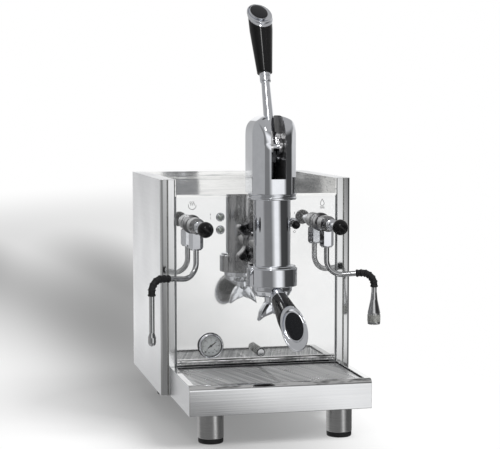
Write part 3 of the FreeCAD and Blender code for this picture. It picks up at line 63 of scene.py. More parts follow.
SEAM_MM = 0.001
POLE_MM = 0.0005
WELD_MM = 0.01
FLAT_DEGREES = 0.5

FRONT_Y = -28.54
PANEL_Y = FRONT_Y + 1.0
GROUP_Y = FRONT_Y - 106.0

Corner = Sequence[float]
Outline = Sequence[Corner]
Place = tuple[float, float, float]
Span = tuple[float, float]
Mesh = bpy.types.Mesh
Object = bpy.types.Object
Socket = bpy.types.NodeSocket
Tree = bpy.types.NodeTree

TOWARDS_FRONT = (0.0, -1.0, 0.0)
UPRIGHT = Matrix.Identity(4)
GROUP_AXIS = Matrix.Translation((0.0, GROUP_Y, 0.0))
PIVOT = (0.0, GROUP_Y - 16.0, 472.0)
SIDES = ((-1, "left"), (1, "right"))


def colour(text: str) -> tuple[float, float, float, float]:
    """Turns an sRGB hex colour into linear light.

    Args:
        text: Six hex digits, such as "c8cacc".

    Returns:
        Red, green, blue and alpha, linear.
    """
    parts = [int(text[i:i + 2], 16) / 255 for i in (0, 2, 4)]
    linear = [p / 12.92 if p <= 0.04045 else ((p + 0.055) / 1.055) ** 2.4 for p in parts]
    return linear[0], linear[1], linear[2], 1.0


def add_node(tree: Tree, kind: str, inputs: dict[Any, Any] | None = None,
             **settings: Any) -> bpy.types.Node:
    """Adds a node with its settings, and sets or links its inputs.

    Args:
        tree: The node tree that gets the node.
        kind: The node's type name.
        inputs: Socket name or index to a value, or to the output socket it is linked from.
        **settings: Properties of the node.

    Returns:
        The new node.
    """
    node = tree.nodes.new(kind)
    for name, value in settings.items():
        setattr(node, name, value)
    for key, value in (inputs or {}).items():
        if isinstance(value, Socket):
            tree.links.new(value, node.inputs[key])
        else:
            node.inputs[key].default_value = value
    return node


def calculate(tree: Tree, operation: str, *values: Any, **settings: Any) -> Socket:
    """Adds a math node on values or sockets and gives its result."""
    inputs = dict(enumerate(values))
    return add_node(tree, "ShaderNodeMath", inputs, operation=operation, **settings).outputs[0]


def ranged(tree: Tree, value: Socket, source: Span, target: Span = (0.0, 1.0), **settings: Any) -> Socket:
    """Adds a node that carries a value from one range to another, and gives its result."""
    ends = dict(zip(("From Min", "From Max", "To Min", "To Max"), (*source, *target)))
    return add_node(tree, "ShaderNodeMapRange", {0: value, **ends}, **settings).outputs[0]


def mixed(tree: Tree, share: Socket, first: Any, second: Any) -> Socket:
    """Adds a node that mixes two colours by the second one's share."""
    return add_node(tree, "ShaderNodeMix", {0: share, 6: first, 7: second}, data_type="RGBA").outputs[2]


def fresh_tree(owner: bpy.types.Material | bpy.types.World) -> Tree:
    """Empties the node tree of a material or a world.

    Args:
        owner: The material or the world.

    Returns:
        Its tree.
    """
    owner.use_nodes = True
    owner.node_tree.nodes.clear()
    return owner.node_tree


class Slot(Enum):
    """The record's material slots that the pieces take their finish from."""

    SATIN_STEEL = "satin_steel"
    MIRROR_STEEL = "mirror_steel"
    CHROME = "chrome"
    BRUSHED_STEEL = "brushed_steel"
    BLACK_GLOSS = "black_gloss"
    RUBBER = "rubber"
    DARK_STEEL = "dark_steel"
    FRAME_STEEL = "frame_steel"
    LAMP_LENS = "lamp_lens"
    DIAL_WHITE = "dial_white"
    NEEDLE_BLACK = "needle_black"
    CLEAR_GLASS = "clear_glass"
    COPPER = "copper"
    TANK_PLASTIC = "tank_plastic"
    BLACK_PLASTIC = "black_plastic"


class Cut(Enum):
    """What a Boolean step keeps of a mesh."""

    COMMON = "INTERSECT"
    REST = "DIFFERENCE"


class Fluid(Enum):
    """What a tap lets out."""

    STEAM = "steam"
    WATER = "water"


class LampShape(Enum):
    """The outline of a flat lamp."""

    ROUND = "DISK"
    SQUARE = "RECTANGLE"


@dataclass(frozen=True)
class Finish:
    """A material and how its surface was made.

    The grain is a fine noise, in millimetres, with one size or its own size along each axis, turned
    about the upright axis. It carries the bump and the colour, which goes from light to dark over the
    spread of the noise. The cloud is a broad noise that carries the gloss.
    """

    name: str
    slot: Slot
    light: str
    dark: str
    gloss: Span
    metallic: float = 1.0
    ior: float = 1.5
    grain_mm: float | Place = 2.0
    turn: float = 0.0
    spread: Span = (0.3, 0.7)
    bump_mm: float = 0.0
    cloud_mm: float = 40.0
    cloud_spread: Span = (0.3, 0.7)
    coat: float = 0.0
    coat_gloss: float = 0.05
    transmission: float = 0.0

    def grain_size(self) -> list[float]:
        """The grain's size along each axis, in metres."""
        sizes = self.grain_mm if isinstance(self.grain_mm, tuple) else (self.grain_mm,) * 3
        return [size / METRE for size in sizes]

    def material(self) -> bpy.types.Material:
        """Gives the material, made on its first use.

        Returns:
            The material with its nodes.
        """
        found = bpy.data.materials.get(self.name)
        if found:
            return found
        material = bpy.data.materials.new(self.name)
        tree = fresh_tree(material)
        place = add_node(tree, "ShaderNodeTexCoord").outputs["Object"]
        stretched = add_node(tree, "ShaderNodeMapping", {
            "Vector": place, "Scale": self.grain_size(),
            "Rotation": (0.0, 0.0, math.radians(self.turn))}, vector_type="TEXTURE")
        grain = add_node(tree, "ShaderNodeTexNoise", {
            "Vector": stretched.outputs[0], "Scale": 1.0, "Detail": 3.0, "Roughness": 0.6}).outputs[0]
        cloud = add_node(tree, "ShaderNodeTexNoise", {
            "Vector": place, "Scale": METRE / self.cloud_mm, "Detail": 2.0}).outputs[0]
        shade = mixed(tree, ranged(tree, grain, self.spread), colour(self.light), colour(self.dark))
        shader = add_node(tree, "ShaderNodeBsdfPrincipled", {
            "Base Color": shade, "Roughness": ranged(tree, cloud, self.cloud_spread, self.gloss),
            "Metallic": self.metallic, "IOR": self.ior, "Coat Weight": self.coat,
            "Coat Roughness": self.coat_gloss, "Transmission Weight": self.transmission})
        if self.bump_mm:
            bump = add_node(tree, "ShaderNodeBump", {
                "Height": grain, "Distance": self.bump_mm / METRE, "Strength": 1.0})
            tree.links.new(bump.outputs[0], shader.inputs["Normal"])
        add_node(tree, "ShaderNodeOutputMaterial", {0: shader.outputs[0]})
        return material


# Stainless sheet polished to a mirror: clear reflections under a faint milky haze, slightly wavy.
MIRROR_SHEET = Finish(
    "stainless_sheet_mirror_polished", Slot.MIRROR_STEEL, "f6f6f6", "f0f1f1", (0.015, 0.05),
    metallic=0.9, grain_mm=(90, 90, 60), bump_mm=0.015, cloud_mm=70)
# The rolled edges of the drawer and of the panel's lip: bright, with long dark painted reflections.
ROLLED_SHEET = Finish(
    "stainless_sheet_rolled_polished", Slot.MIRROR_STEEL, "f4f4f4", "4a4b4c", (0.03, 0.07),
    grain_mm=(52, 60, 6), spread=(0.5, 0.66), bump_mm=0.01)
# The cup tray's sheet, polished by hand: long wavy lines in its bump, and dark wavy painted reflections.
WHEELED_SHEET = Finish(
    "stainless_sheet_wheel_polished", Slot.MIRROR_STEEL, "f8f8f7", "b4b7b9", (0.03, 0.09), metallic=0.9,
    grain_mm=(120, 16, 3.2), spread=(0.56, 0.7), bump_mm=0.04, cloud_mm=60)
# Stainless sheet with a satin grain: pale and soft, with very faint lines from front to back.
SATIN_SHEET = Finish(
    "stainless_sheet_satin_ground", Slot.SATIN_STEEL, "f9fafc", "f4f5f7", (0.30, 0.36), metallic=0.85,
    grain_mm=(2, 120, 2), bump_mm=0.003, cloud_mm=90)
# The drawer's satin front: ground from left to right, and finer, so that it mirrors broad shades.
SATIN_FRONT = Finish(
    "stainless_sheet_satin_ground_across", Slot.BRUSHED_STEEL, "f2f3f4", "ebecee", (0.08, 0.12),
    grain_mm=(240, 2, 2), bump_mm=0.012, cloud_mm=70)
# The cheeks' front edges and inner sides, polished less than the panel between them: soft reflections.
SEMI_POLISHED = Finish(
    "stainless_sheet_half_polished", Slot.SATIN_STEEL, "eceded", "e4e5e6", (0.08, 0.12),
    grain_mm=(3, 3, 160), bump_mm=0.004, cloud_mm=70)
# Cast brass under polished chrome plate: hard bands of light and dark, very slightly wavy.
CHROME = Finish(
    "brass_cast_chrome_plated", Slot.CHROME, "f0f2f7", "e9ebf0", (0.02, 0.06), grain_mm=14,
    bump_mm=0.012, cloud_mm=25)
# A darker copy of the chrome, on the taps, the flange and the group's rear: painted shade, cloudy.
DULL_CHROME = Finish(
    "brass_cast_plated_thinly", Slot.CHROME, "b0b0b1", "8f8f91", (0.05, 0.11), grain_mm=24,
    bump_mm=0.03, cloud_mm=18)
# The housing's back, facing the panel: grey and dull, as painted shade.
PAINTED_SHADE_CAST = Finish(
    "brass_cast_nickel_sprayed", Slot.CHROME, "8a8c90", "66686c", (0.16, 0.26), grain_mm=9,
    bump_mm=0.03, cloud_mm=18)
# Machined steel, never plated, of the lever's hub and of other dull edges and bands: grey and soft.
HUB_STEEL = Finish(
    "steel_forged_machined", Slot.DARK_STEEL, "b2b3af", "8b8c89", (0.3, 0.4), metallic=0.6, grain_mm=4,
    bump_mm=0.02, cloud_mm=10)
# Polished stainless of the tubes, the sieves and the small screws: like chrome but a little softer.
TUBE = Finish(
    "stainless_tube_polished", Slot.CHROME, "d2d3d4", "c2c3c5", (0.07, 0.14), grain_mm=6, bump_mm=0.006,
    cloud_mm=18)
# Turned stainless of the feet: lines run round, and the light breaks into upright soft bands.
TURNED_STEEL = Finish(
    "stainless_bar_turned", Slot.BRUSHED_STEEL, "dadada", "c2c2c2", (0.14, 0.2), grain_mm=(60, 60, 1.2),
    bump_mm=0.01, cloud_mm=30)
# Slotted steel sheet of the grate: slanting light and dark streaks of painted shade in its colour.
GRATE_STEEL = Finish(
    "stainless_sheet_slotted_belt_ground", Slot.BRUSHED_STEEL, "ffffff", "a6a8aa", (0.26, 0.36),
    metallic=0.85, grain_mm=(2.6, 300, 2.6), turn=16, spread=(0.38, 0.66), bump_mm=0.01, cloud_mm=50)
# Moulded phenolic resin: black, smooth, with a small clear highlight and a faint orange-peel.
PHENOLIC = Finish(
    "phenolic_moulded_polished", Slot.BLACK_GLOSS, "0b0b0c", "101011", (0.07, 0.12), metallic=0,
    ior=1.38, grain_mm=4, bump_mm=0.006, cloud_mm=20)
# Black enamel in the two badge plates: flat black under a hard gloss.
ENAMEL = Finish(
    "brass_plate_black_enamelled", Slot.BLACK_GLOSS, "0e0f11", "141518", (0.1, 0.16), metallic=0,
    ior=1.3, grain_mm=2.5, bump_mm=0.006, cloud_mm=10)
# Moulded nitrile rubber: near black and matt, paler where it is scuffed.
RUBBER = Finish(
    "nitrile_rubber_moulded", Slot.RUBBER, "151516", "202022", (0.42, 0.58), metallic=0, ior=1.42,
    grain_mm=1.5, bump_mm=0.03, cloud_mm=12)
# Oiled steel of bolts, spring and piston: dark, with dull highlights; also painted shade in hollows and
# rims.
DARK_STEEL = Finish(
    "steel_forged_oiled", Slot.DARK_STEEL, "505153", "323335", (0.2, 0.34), grain_mm=5, bump_mm=0.02,
    cloud_mm=12)
# The slot's inside: dark, with hardly a highlight, as painted shade of the deep slot.
SLOT_DARK = Finish(
    "brass_cast_blackened", Slot.DARK_STEEL, "5c5c5e", "48484a", (0.3, 0.45), metallic=0.2, grain_mm=6,
    bump_mm=0.03, cloud_mm=15)
# Zinc-plated steel of the chassis: grey with a soft spangle.
ZINC = Finish(
    "steel_sheet_zinc_plated", Slot.FRAME_STEEL, "a9acae", "8f9294", (0.4, 0.5), grain_mm=12,
    bump_mm=0.01, cloud_mm=40)
# Spun copper of the boiler: warm, a little stained.
COPPER = Finish(
    "copper_sheet_spun", Slot.COPPER, "c98a66", "a86a48", (0.25, 0.4), grain_mm=20, bump_mm=0.01,
    cloud_mm=30)
# Moulded polypropylene of the water tank: milky and dull.
TANK = Finish(
    "polypropylene_moulded", Slot.TANK_PLASTIC, "d9dcdb", "cfd3d2", (0.4, 0.5), metallic=0, ior=1.49,
    grain_mm=8, bump_mm=0.02, cloud_mm=40)
# Moulded polyamide of the mains inlet: black with a fine spark-eroded grain.
POLYAMIDE = Finish(
    "polyamide_moulded", Slot.BLACK_PLASTIC, "1b1b1c", "232324", (0.4, 0.5), metallic=0, ior=1.53,
    grain_mm=0.8, bump_mm=0.02, cloud_mm=15)
# Enamelled tin of the gauge's dial: white, smooth.
DIAL = Finish(
    "tin_plate_white_enamelled", Slot.DIAL_WHITE, "e4e6e8", "dcdfe1", (0.3, 0.4), metallic=0,
    grain_mm=3, bump_mm=0.004, cloud_mm=10)
# Printed ink of scales and pictograms: flat dark grey.
INK = Finish(
    "ink_screen_printed", Slot.NEEDLE_BLACK, "2c2d2f", "38393b", (0.5, 0.6), metallic=0, grain_mm=0.6,
    bump_mm=0.002, cloud_mm=5)
# Clear float glass over the dial: seen by its reflections alone.
GLASS = Finish(
    "glass_float_clear", Slot.CLEAR_GLASS, "ffffff", "fbfdfc", (0, 0.02), metallic=0, ior=1.45,
    cloud_mm=20, transmission=1)
# Acrylic lamp lens, unlit: smoky grey-green under a clear gloss.
LENS = Finish(
    "acrylic_moulded_smoked", Slot.LAMP_LENS, "b9beb8", "8f958f", (0.05, 0.1), metallic=0.6, ior=1.49,
    grain_mm=2.4, bump_mm=0.02, cloud_mm=6, coat=1)


def fillet(corners: Outline, closed: bool, steps: int = 6) -> list[Vector]:
    """Rounds the corners of an outline or a path.

    Args:
        corners: Points of two or three coordinates, each with a radius as its last number.
        closed: Whether the last point joins the first.
        steps: Pieces of each rounding.

    Returns:
        The points, with each rounding as an arc and guard points on long runs.
    """
    places = [Vector(c[:-1]).to_3d() for c in corners]
    count = len(places)
    line: list[Vector] = []
    for i, corner in enumerate(corners):
        here = places[i]
        inner = closed or 0 < i < count - 1
        if corner[-1] <= 0 or not inner:
            line.append(here)
            continue
        back = (places[i - 1] - here).normalized()
        on = (places[(i + 1) % count] - here).normalized()
        half = back.angle(on) / 2
        away = corner[-1] / math.tan(half)
        middle = here + (back + on).normalized() * corner[-1] / math.sin(half)
        first = here + back * away - middle
        last = here + on * away - middle
        turn = first.angle(last)
        axis = first.cross(last).normalized()
        for step in range(steps + 1):
            line.append(middle + Matrix.Rotation(turn * step / steps, 3, axis) @ first)
    return guard(line, closed)


def guard(line: list[Vector], closed: bool, margin: float = 0.4, least: float = 3.0) -> list[Vector]:
    """Adds a point close to both ends of each long run, so that shading stays flat along it.

    Args:
        line: The points.
        closed: Whether the last point joins the first.
        margin: How close the new points are to the ends.
        least: Runs up to this length are left alone.

    Returns:
        All the points.
    """
    result: list[Vector] = []
    last = len(line) if closed else len(line) - 1
    for i in range(last):
        start = line[i]
        span = line[(i + 1) % len(line)] - start
        result.append(start)
        if span.length > least:
            result.append(start + span.normalized() * margin)
            result.append(start + span - span.normalized() * margin)
    if not closed:
        result.append(line[-1])
    return result


def aim(origin: Corner, direction: Corner, across: Corner = (1.0, 0.0, 0.0)) -> Matrix:
    """Makes a frame at a point.

    Args:
        origin: The point.
        direction: Where the frame's Z axis points.
        across: A direction near its X axis.

    Returns:
        The frame.
    """
    z = Vector(direction).normalized()
    y = z.cross(Vector(across)).normalized()
    x = y.cross(z)
    matrix = Matrix((x, y, z)).transposed().to_4x4()
    matrix.translation = Vector(origin)
    return matrix


ACROSS = aim((0.0, 0.0, 0.0), (1.0, 0.0, 0.0), (0.0, 1.0, 0.0))


def circle(steps: int) -> list[float]:
    """Even angles round a circle."""
    return [2 * math.pi * i / steps for i in range(steps)]


def rectangle(low: Corner, high: Corner) -> list[Vector]:
    """The corners of a flat rectangle."""
    flat = ((low[0], low[1]), (high[0], low[1]), (high[0], high[1]), (low[0], high[1]))
    return [Vector((x, y, 0.0)) for x, y in flat]


def hexagon(radius: float, turn: float = 0.0) -> list[Vector]:
    """The corners of a flat hexagon, turned by an angle in degrees."""
    turns = [math.radians(60.0 * i + turn) for i in range(6)]
    return [Vector((radius * math.cos(a), radius * math.sin(a), 0.0)) for a in turns]


def rounded_max(first: float, second: float, width: float) -> float:
    """The larger of two distances, rounded over a width where they are close to each other."""
    close = max(width - abs(first - second), 0.0) / width
    return max(first, second) + close * close * width / 4


class Shape:
    """A mesh under construction, in millimetres."""

    def __init__(self) -> None:
        """Starts empty."""
        self.mesh = bmesh.new()

    def grid(self, rows: Sequence[Sequence[Vector]], round_columns: bool = False) -> "Shape":
        """Joins rings of points with faces.

        Args:
            rows: Rings of equal length.
            round_columns: Whether the last ring joins the first.

        Returns:
            This shape.
        """
        made = [[self.mesh.verts.new(p) for p in row] for row in rows]
        count = len(made[0])
        for i in range(len(made) if round_columns else len(made) - 1):
            low = made[i]
            high = made[(i + 1) % len(made)]
            for j in range(count):
                k = (j + 1) % count
                self.mesh.faces.new((low[j], low[k], high[k], high[j]))
        return self

    def lathe(self, corners: Outline, seat: Matrix, steps: int = 96, closed: bool = False,
              wave: Callable[[float, float, float], float] | None = None) -> "Shape":
        """Turns an outline about the seat's Z axis.

        Args:
            corners: The outline's corners, as (radius, height) or (radius, height, rounding).
            seat: The frame that it is turned in.
            steps: Pieces of the circle.
            closed: Whether the outline is a closed ring.
            wave: Gives the radius from the radius, the height and the angle, for fluted pieces.

        Returns:
            This shape.
        """
        rows = []
        for p in fillet([(*corner, 0.0)[:3] for corner in corners], closed):
            row = []
            for turn in circle(steps):
                radius = max(p.x, 0.0)
                if wave:
                    radius = wave(radius, p.y, turn)
                row.append(seat @ Vector((radius * math.cos(turn), radius * math.sin(turn), p.y)))
            rows.append(row)
        return self.grid(rows, closed)

    def sweep(self, path: Sequence[Vector], radius: float, steps: int = 32) -> "Shape":
        """Draws a round tube along a path, with closed ends.

        Args:
            path: The middle line.
            radius: The tube's radius.
            steps: Pieces of the circle.

        Returns:
            This shape.
        """
        side = Vector((0.0, 1.0, 0.0))
        rows = []
        for i, here in enumerate(path):
            along = (path[min(i + 1, len(path) - 1)] - path[max(i - 1, 0)]).normalized()
            side = (side - along * side.dot(along)).normalized()
            other = along.cross(side)
            rows.append([here + (side * math.cos(a) + other * math.sin(a)) * radius
                         for a in circle(steps)])
        rows.insert(0, [path[0]] * steps)
        rows.append([path[-1]] * steps)
        return self.grid(rows)

    def prism(self, outline: Sequence[Vector], seat: Matrix, low: float, high: float) -> "Shape":
        """Raises a flat outline.

        Args:
            outline: The outline's points.
            seat: The frame that it lies in.
            low: The height where it starts.
            high: The height where it ends.

        Returns:
            This shape.
        """
        base = [self.mesh.verts.new(seat @ Vector((p.x, p.y, low))) for p in outline]
        top = [self.mesh.verts.new(seat @ Vector((p.x, p.y, high))) for p in outline]
        self.mesh.faces.new(list(reversed(base)))
        self.mesh.faces.new(top)
        for i, start in enumerate(base):
            k = (i + 1) % len(base)
            self.mesh.faces.new((start, base[k], top[k], top[i]))
        return self

    def block(self, low: Corner, high: Corner) -> "Shape":
        """Adds a box between two corners."""
        return self.prism(rectangle(low, high), UPRIGHT, low[2], high[2])

    def to_mesh(self) -> Mesh:
        """Closes seams and poles and turns the faces outwards.

        Returns:
            The mesh, in metres.
        """
        bmesh.ops.remove_doubles(self.mesh, verts=self.mesh.verts, dist=SEAM_MM)
        bmesh.ops.dissolve_degenerate(self.mesh, edges=self.mesh.edges, dist=POLE_MM)
        bmesh.ops.recalc_face_normals(self.mesh, faces=self.mesh.faces)
        bmesh.ops.scale(self.mesh, vec=(1 / METRE,) * 3, verts=self.mesh.verts)
        mesh = bpy.data.meshes.new("shape")
        self.mesh.to_mesh(mesh)
        self.mesh.free()
        return mesh


def turned(corners: Outline, seat: Matrix, steps: int = 96, closed: bool = False) -> Mesh:
    """A mesh of one turned outline."""
    return Shape().lathe(corners, seat, steps, closed).to_mesh()


def raised(outline: Sequence[Vector], seat: Matrix, low: float, high: float) -> Mesh:
    """A mesh of one raised outline."""
    return Shape().prism(outline, seat, low, high).to_mesh()


def box_mesh(low: Corner, high: Corner) -> Mesh:
    """A mesh of one box."""
    return Shape().block(low, high).to_mesh()


def points_mesh(places: Iterable[Corner], joined: bool = False) -> Mesh:
    """A mesh of bare points, or of a line through them.

    Args:
        places: The points, in millimetres.
        joined: Whether edges join them in order.

    Returns:
        The mesh, in metres.
    """
    mesh = bpy.data.meshes.new("points")
    spots = [tuple(c / METRE for c in place) for place in places]
    edges = [(i, i + 1) for i in range(len(spots) - 1)] if joined else []
    mesh.from_pydata(spots, edges, [])
    return mesh


def linked(name: str, data: bpy.types.ID) -> Object:
    """Puts a mesh, curve, lamp or camera in the scene.

    Args:
        name: The object's name.
        data: What it shows.

    Returns:
        The object, at the origin.
    """
    item = bpy.data.objects.new(name, data)
    bpy.context.scene.collection.objects.link(item)
    return item


def shown(mesh: Mesh) -> Object:
    """Puts a mesh in the scene under its own name."""
    return linked(mesh.name, mesh)


def settle(item: Object) -> Mesh:
    """Turns what an object's modifiers give into a plain mesh, and removes the object.

    Args:
        item: The object.

    Returns:
        The mesh.
    """
    bpy.context.view_layer.update()
    graph = bpy.context.evaluated_depsgraph_get()
    mesh = bpy.data.meshes.new_from_object(item.evaluated_get(graph), depsgraph=graph)
    bpy.data.objects.remove(item)
    return mesh


def carve(base: Mesh, cut: Cut, *tools: Mesh) -> Mesh:
    """Cuts a mesh with others, one after the other.

    Args:
        base: The mesh to start from.
        cut: What is kept of it.
        *tools: The other meshes.

    Returns:
        The new mesh.
    """
    item = shown(base)
    helpers = [shown(tool) for tool in tools]
    for helper in helpers:
        step = item.modifiers.new("carve", "BOOLEAN")
        step.operation = cut.value
        step.solver = "EXACT"
        step.object = helper
    mesh = settle(item)
    for helper in helpers:
        bpy.data.objects.remove(helper)
    return mesh


def soften(mesh: Mesh, width_mm: float, segments: int = 3, angle: float = 30.0) -> Mesh:
    """Rounds a mesh's sharp edges and keeps its flat faces flat to the eye.

    Args:
        mesh: The mesh.
        width_mm: Width of the rounding.
        segments: Pieces of the rounding.
        angle: Edges sharper than this many degrees are rounded.

    Returns:
        The new mesh.
    """
    work = bmesh.new()
    work.from_mesh(mesh)
    bmesh.ops.remove_doubles(work, verts=work.verts, dist=WELD_MM / METRE)
    bmesh.ops.dissolve_limit(work, angle_limit=math.radians(FLAT_DEGREES), verts=work.verts,
                             edges=work.edges)
    work.to_mesh(mesh)
    work.free()
    mesh.shade_smooth()
    item = shown(mesh)
    step = item.modifiers.new("edges", "BEVEL")
    step.width = width_mm / METRE
    step.segments = segments
    step.limit_method = "ANGLE"
    step.angle_limit = math.radians(angle)
    step.use_clamp_overlap = True
    step.harden_normals = True
    flat = item.modifiers.new("flats", "WEIGHTED_NORMAL")
    flat.mode = "FACE_AREA"
    flat.weight = 100
    flat.keep_sharp = True
    return settle(item)


def paint(mesh: Mesh, finishes: Sequence[Finish], choose: Callable[[Vector, Vector], int]) -> Mesh:
    """Gives each face of a mesh one of several finishes.

    Args:
        mesh: The mesh.
        finishes: The finishes.
        choose: Gives a finish's place among them from a face's middle, in millimetres, and its normal.

    Returns:
        The same mesh.
    """
    mesh.materials.clear()
    for finish in finishes:
        mesh.materials.append(finish.material())
    for face in mesh.polygons:
        face.material_index = choose(face.center * METRE, face.normal)
    return mesh


class NodeRecipe:
    """A Geometry Nodes tree with named inputs, and the meshes that it makes."""

    INPUTS: tuple[tuple[str, str], ...] = ()

    def __init__(self) -> None:
        """Builds the tree, with the recipe's own nodes before Realize Instances and Set Material."""
        self.tree = bpy.data.node_groups.new(type(self).__name__, "GeometryNodeTree")
        sockets = self.tree.interface
        sockets.new_socket("Geometry", in_out="INPUT", socket_type="NodeSocketGeometry")
        self.names: dict[str, str] = {}
        for label, kind in self.INPUTS + (("Finish", "NodeSocketMaterial"),):
            self.names[label] = sockets.new_socket(label, in_out="INPUT", socket_type=kind).identifier
        sockets.new_socket("Geometry", in_out="OUTPUT", socket_type="NodeSocketGeometry")
        self.given = add_node(self.tree, "NodeGroupInput").outputs
        whole = add_node(self.tree, "GeometryNodeRealizeInstances", {0: self.wire()})
        dressed = add_node(self.tree, "GeometryNodeSetMaterial", {
            "Geometry": whole.outputs[0], "Material": self.given["Finish"]})
        add_node(self.tree, "NodeGroupOutput", {0: dressed.outputs[0]})

    def wire(self) -> Socket:
        """Adds the recipe's own nodes and gives their result; each recipe has its own."""
        return self.given["Geometry"]

    def copied(self) -> Socket:
        """The geometry of the object that is copied."""
        info = add_node(self.tree, "GeometryNodeObjectInfo", {"Object": self.given["Copy"]})
        return info.outputs["Geometry"]

    def placed(self, points: Socket, copy: Socket, **more: Socket) -> Socket:
        """Sets a copy on each point, with more inputs such as its rotation."""
        inputs = {"Points": points, "Instance": copy, **more}
        return add_node(self.tree, "GeometryNodeInstanceOnPoints", inputs).outputs[0]

    def make(self, start: Mesh, finish: Finish, **values: Any) -> Mesh:
        """Runs the tree on a mesh.

        Args:
            start: The mesh that goes in.
            finish: The material that it gets.
            **values: The tree's inputs. A mesh stands for an object.

        Returns:
            A plain mesh.
        """
        item = shown(start)
        step = item.modifiers.new("nodes", "NODES")
        step.node_group = self.tree
        helpers = []
        for label, value in values.items():
            if isinstance(value, Mesh):
                value = shown(value)
                helpers.append(value)
            step[self.names[label]] = value
        step[self.names["Finish"]] = finish.material()
        mesh = settle(item)
        for helper in helpers:
            bpy.data.objects.remove(helper)
        return mesh


class CopiesAtPoints(NodeRecipe):
    """A copy of a shape at each point of a mesh, such as screws and feet."""

    INPUTS = (("Copy", "NodeSocketObject"),)

    def wire(self) -> Socket:
        """Sets a copy on each point."""
        return self.placed(self.given["Geometry"], self.copied())


class RowOfCopies(NodeRecipe):
    """A row of copies at even steps, joined to the mesh that goes in, such as a grate's slats."""

    INPUTS = (("Copy", "NodeSocketObject"), ("Count", "NodeSocketInt"), ("Start", "NodeSocketVector"),
              ("Step", "NodeSocketVector"))

    def wire(self) -> Socket:
        """Sets the copies along a line.

        Returns:
            The mesh with its row.
        """
        line = add_node(self.tree, "GeometryNodeMeshLine", {
            "Count": self.given["Count"], "Start Location": self.given["Start"],
            "Offset": self.given["Step"]}, mode="OFFSET")
        row = self.placed(line.outputs[0], self.copied())
        joined = add_node(self.tree, "GeometryNodeJoinGeometry", {0: self.given["Geometry"]})
        self.tree.links.new(row, joined.inputs[0])
        return joined.outputs[0]


class CopiesRound(NodeRecipe):
    """Copies turned about the Z axis at even angles, such as a dial's ticks."""

    INPUTS = (("Copy", "NodeSocketObject"), ("Count", "NodeSocketInt"), ("First", "NodeSocketFloat"),
              ("Step", "NodeSocketFloat"))

    def wire(self) -> Socket:
        """Turns each copy by its own index.

        Returns:
            The copies.
        """
        points = add_node(self.tree, "GeometryNodePoints", {"Count": self.given["Count"]})
        index = add_node(self.tree, "GeometryNodeInputIndex").outputs[0]
        turn = calculate(self.tree, "MULTIPLY_ADD", index, self.given["Step"], self.given["First"])
        spin = add_node(self.tree, "ShaderNodeCombineXYZ", {2: turn})
        return self.placed(points.outputs[0], self.copied(), Rotation=spin.outputs[0])


class RibsOnPath(NodeRecipe):
    """Rings at even steps along a path, such as the ribs of a rubber sleeve."""

    INPUTS = (("Count", "NodeSocketInt"), ("Radius", "NodeSocketFloat"),
              ("Thickness", "NodeSocketFloat"))
    RING_STEPS = 40
    SECTION_STEPS = 12

    def round_line(self, steps: int, radius: Socket) -> Socket:
        """A circle of a number of steps."""
        inputs = {"Resolution": steps, "Radius": radius}
        return add_node(self.tree, "GeometryNodeCurvePrimitiveCircle", inputs).outputs[0]

    def wire(self) -> Socket:
        """Sets a ring square to the path at each step.

        Returns:
            The rings.
        """
        path = add_node(self.tree, "GeometryNodeMeshToCurve", {0: self.given["Geometry"]})
        steps = add_node(self.tree, "GeometryNodeCurveToPoints", {
            "Curve": path.outputs[0], "Count": self.given["Count"]}, mode="COUNT").outputs
        rib = add_node(self.tree, "GeometryNodeCurveToMesh", {
            "Curve": self.round_line(self.RING_STEPS, self.given["Radius"]),
            "Profile Curve": self.round_line(self.SECTION_STEPS, self.given["Thickness"])})
        return self.placed(steps["Points"], rib.outputs[0], Rotation=steps["Rotation"])


@dataclass
class Bench:
    """Keeps the node trees that the sub-assemblies share, and the finished pieces."""

    pieces: list[Object] = field(default_factory=list)
    at_points: CopiesAtPoints = field(default_factory=CopiesAtPoints)
    row: RowOfCopies = field(default_factory=RowOfCopies)
    ring: CopiesRound = field(default_factory=CopiesRound)
    ribs: RibsOnPath = field(default_factory=RibsOnPath)


@dataclass
class Assembly:
    """A sub-assembly: the bench that it is built at, and how its pieces go into the frame."""

    bench: Bench

    def add(self, name: str, mesh: Mesh, finish: Finish, body: str, *nodes: str,
            smooth: float | None = 35.0) -> Object:
        """Makes a finished piece that rides on a body.

        Args:
            name: The piece's name.
            mesh: Its mesh, in metres.
            finish: Its material.
            body: The CAD body that carries it.
            *nodes: CAD nodes that it stands for.
            smooth: Edges sharper than this many degrees stay sharp; None keeps the mesh's shading.

        Returns:
            The piece.
        """
        mesh.name = name
        if smooth is not None:
            mesh.shade_smooth()
            mesh.set_sharp_from_angle(angle=math.radians(smooth))
        if not mesh.materials:
            mesh.materials.append(finish.material())
        elif mesh.materials[0] is None:
            mesh.materials[0] = finish.material()
        item = shown(mesh)
        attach(item, body)
        if nodes:
            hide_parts(*nodes)
        self.bench.pieces.append(item)
        LOG.info("%s on %s, %d faces, %s", name, body, len(mesh.polygons), finish.name)
        return item

    def copies(self, name: str, part: Mesh, places: Iterable[Corner], finish: Finish, *nodes: str,
               smooth: float | None = 35.0) -> None:
        """Makes one piece of the case from copies of a part at places in millimetres."""
        mesh = self.bench.at_points.make(points_mesh(places), finish, Copy=part)
        self.add(name, mesh, finish, "case", *nodes, smooth=smooth)

    def keep(self, finish: Finish, *nodes: str) -> None:
        """Gives CAD nodes that stay as they are their finish.

        Args:
            finish: The finish.
            *nodes: The nodes' names.
        """
        for name in nodes:
            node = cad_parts[name]
            node.data.materials.clear()
            node.data.materials.append(finish.material())
            LOG.info("%s kept, %s", name, finish.name)


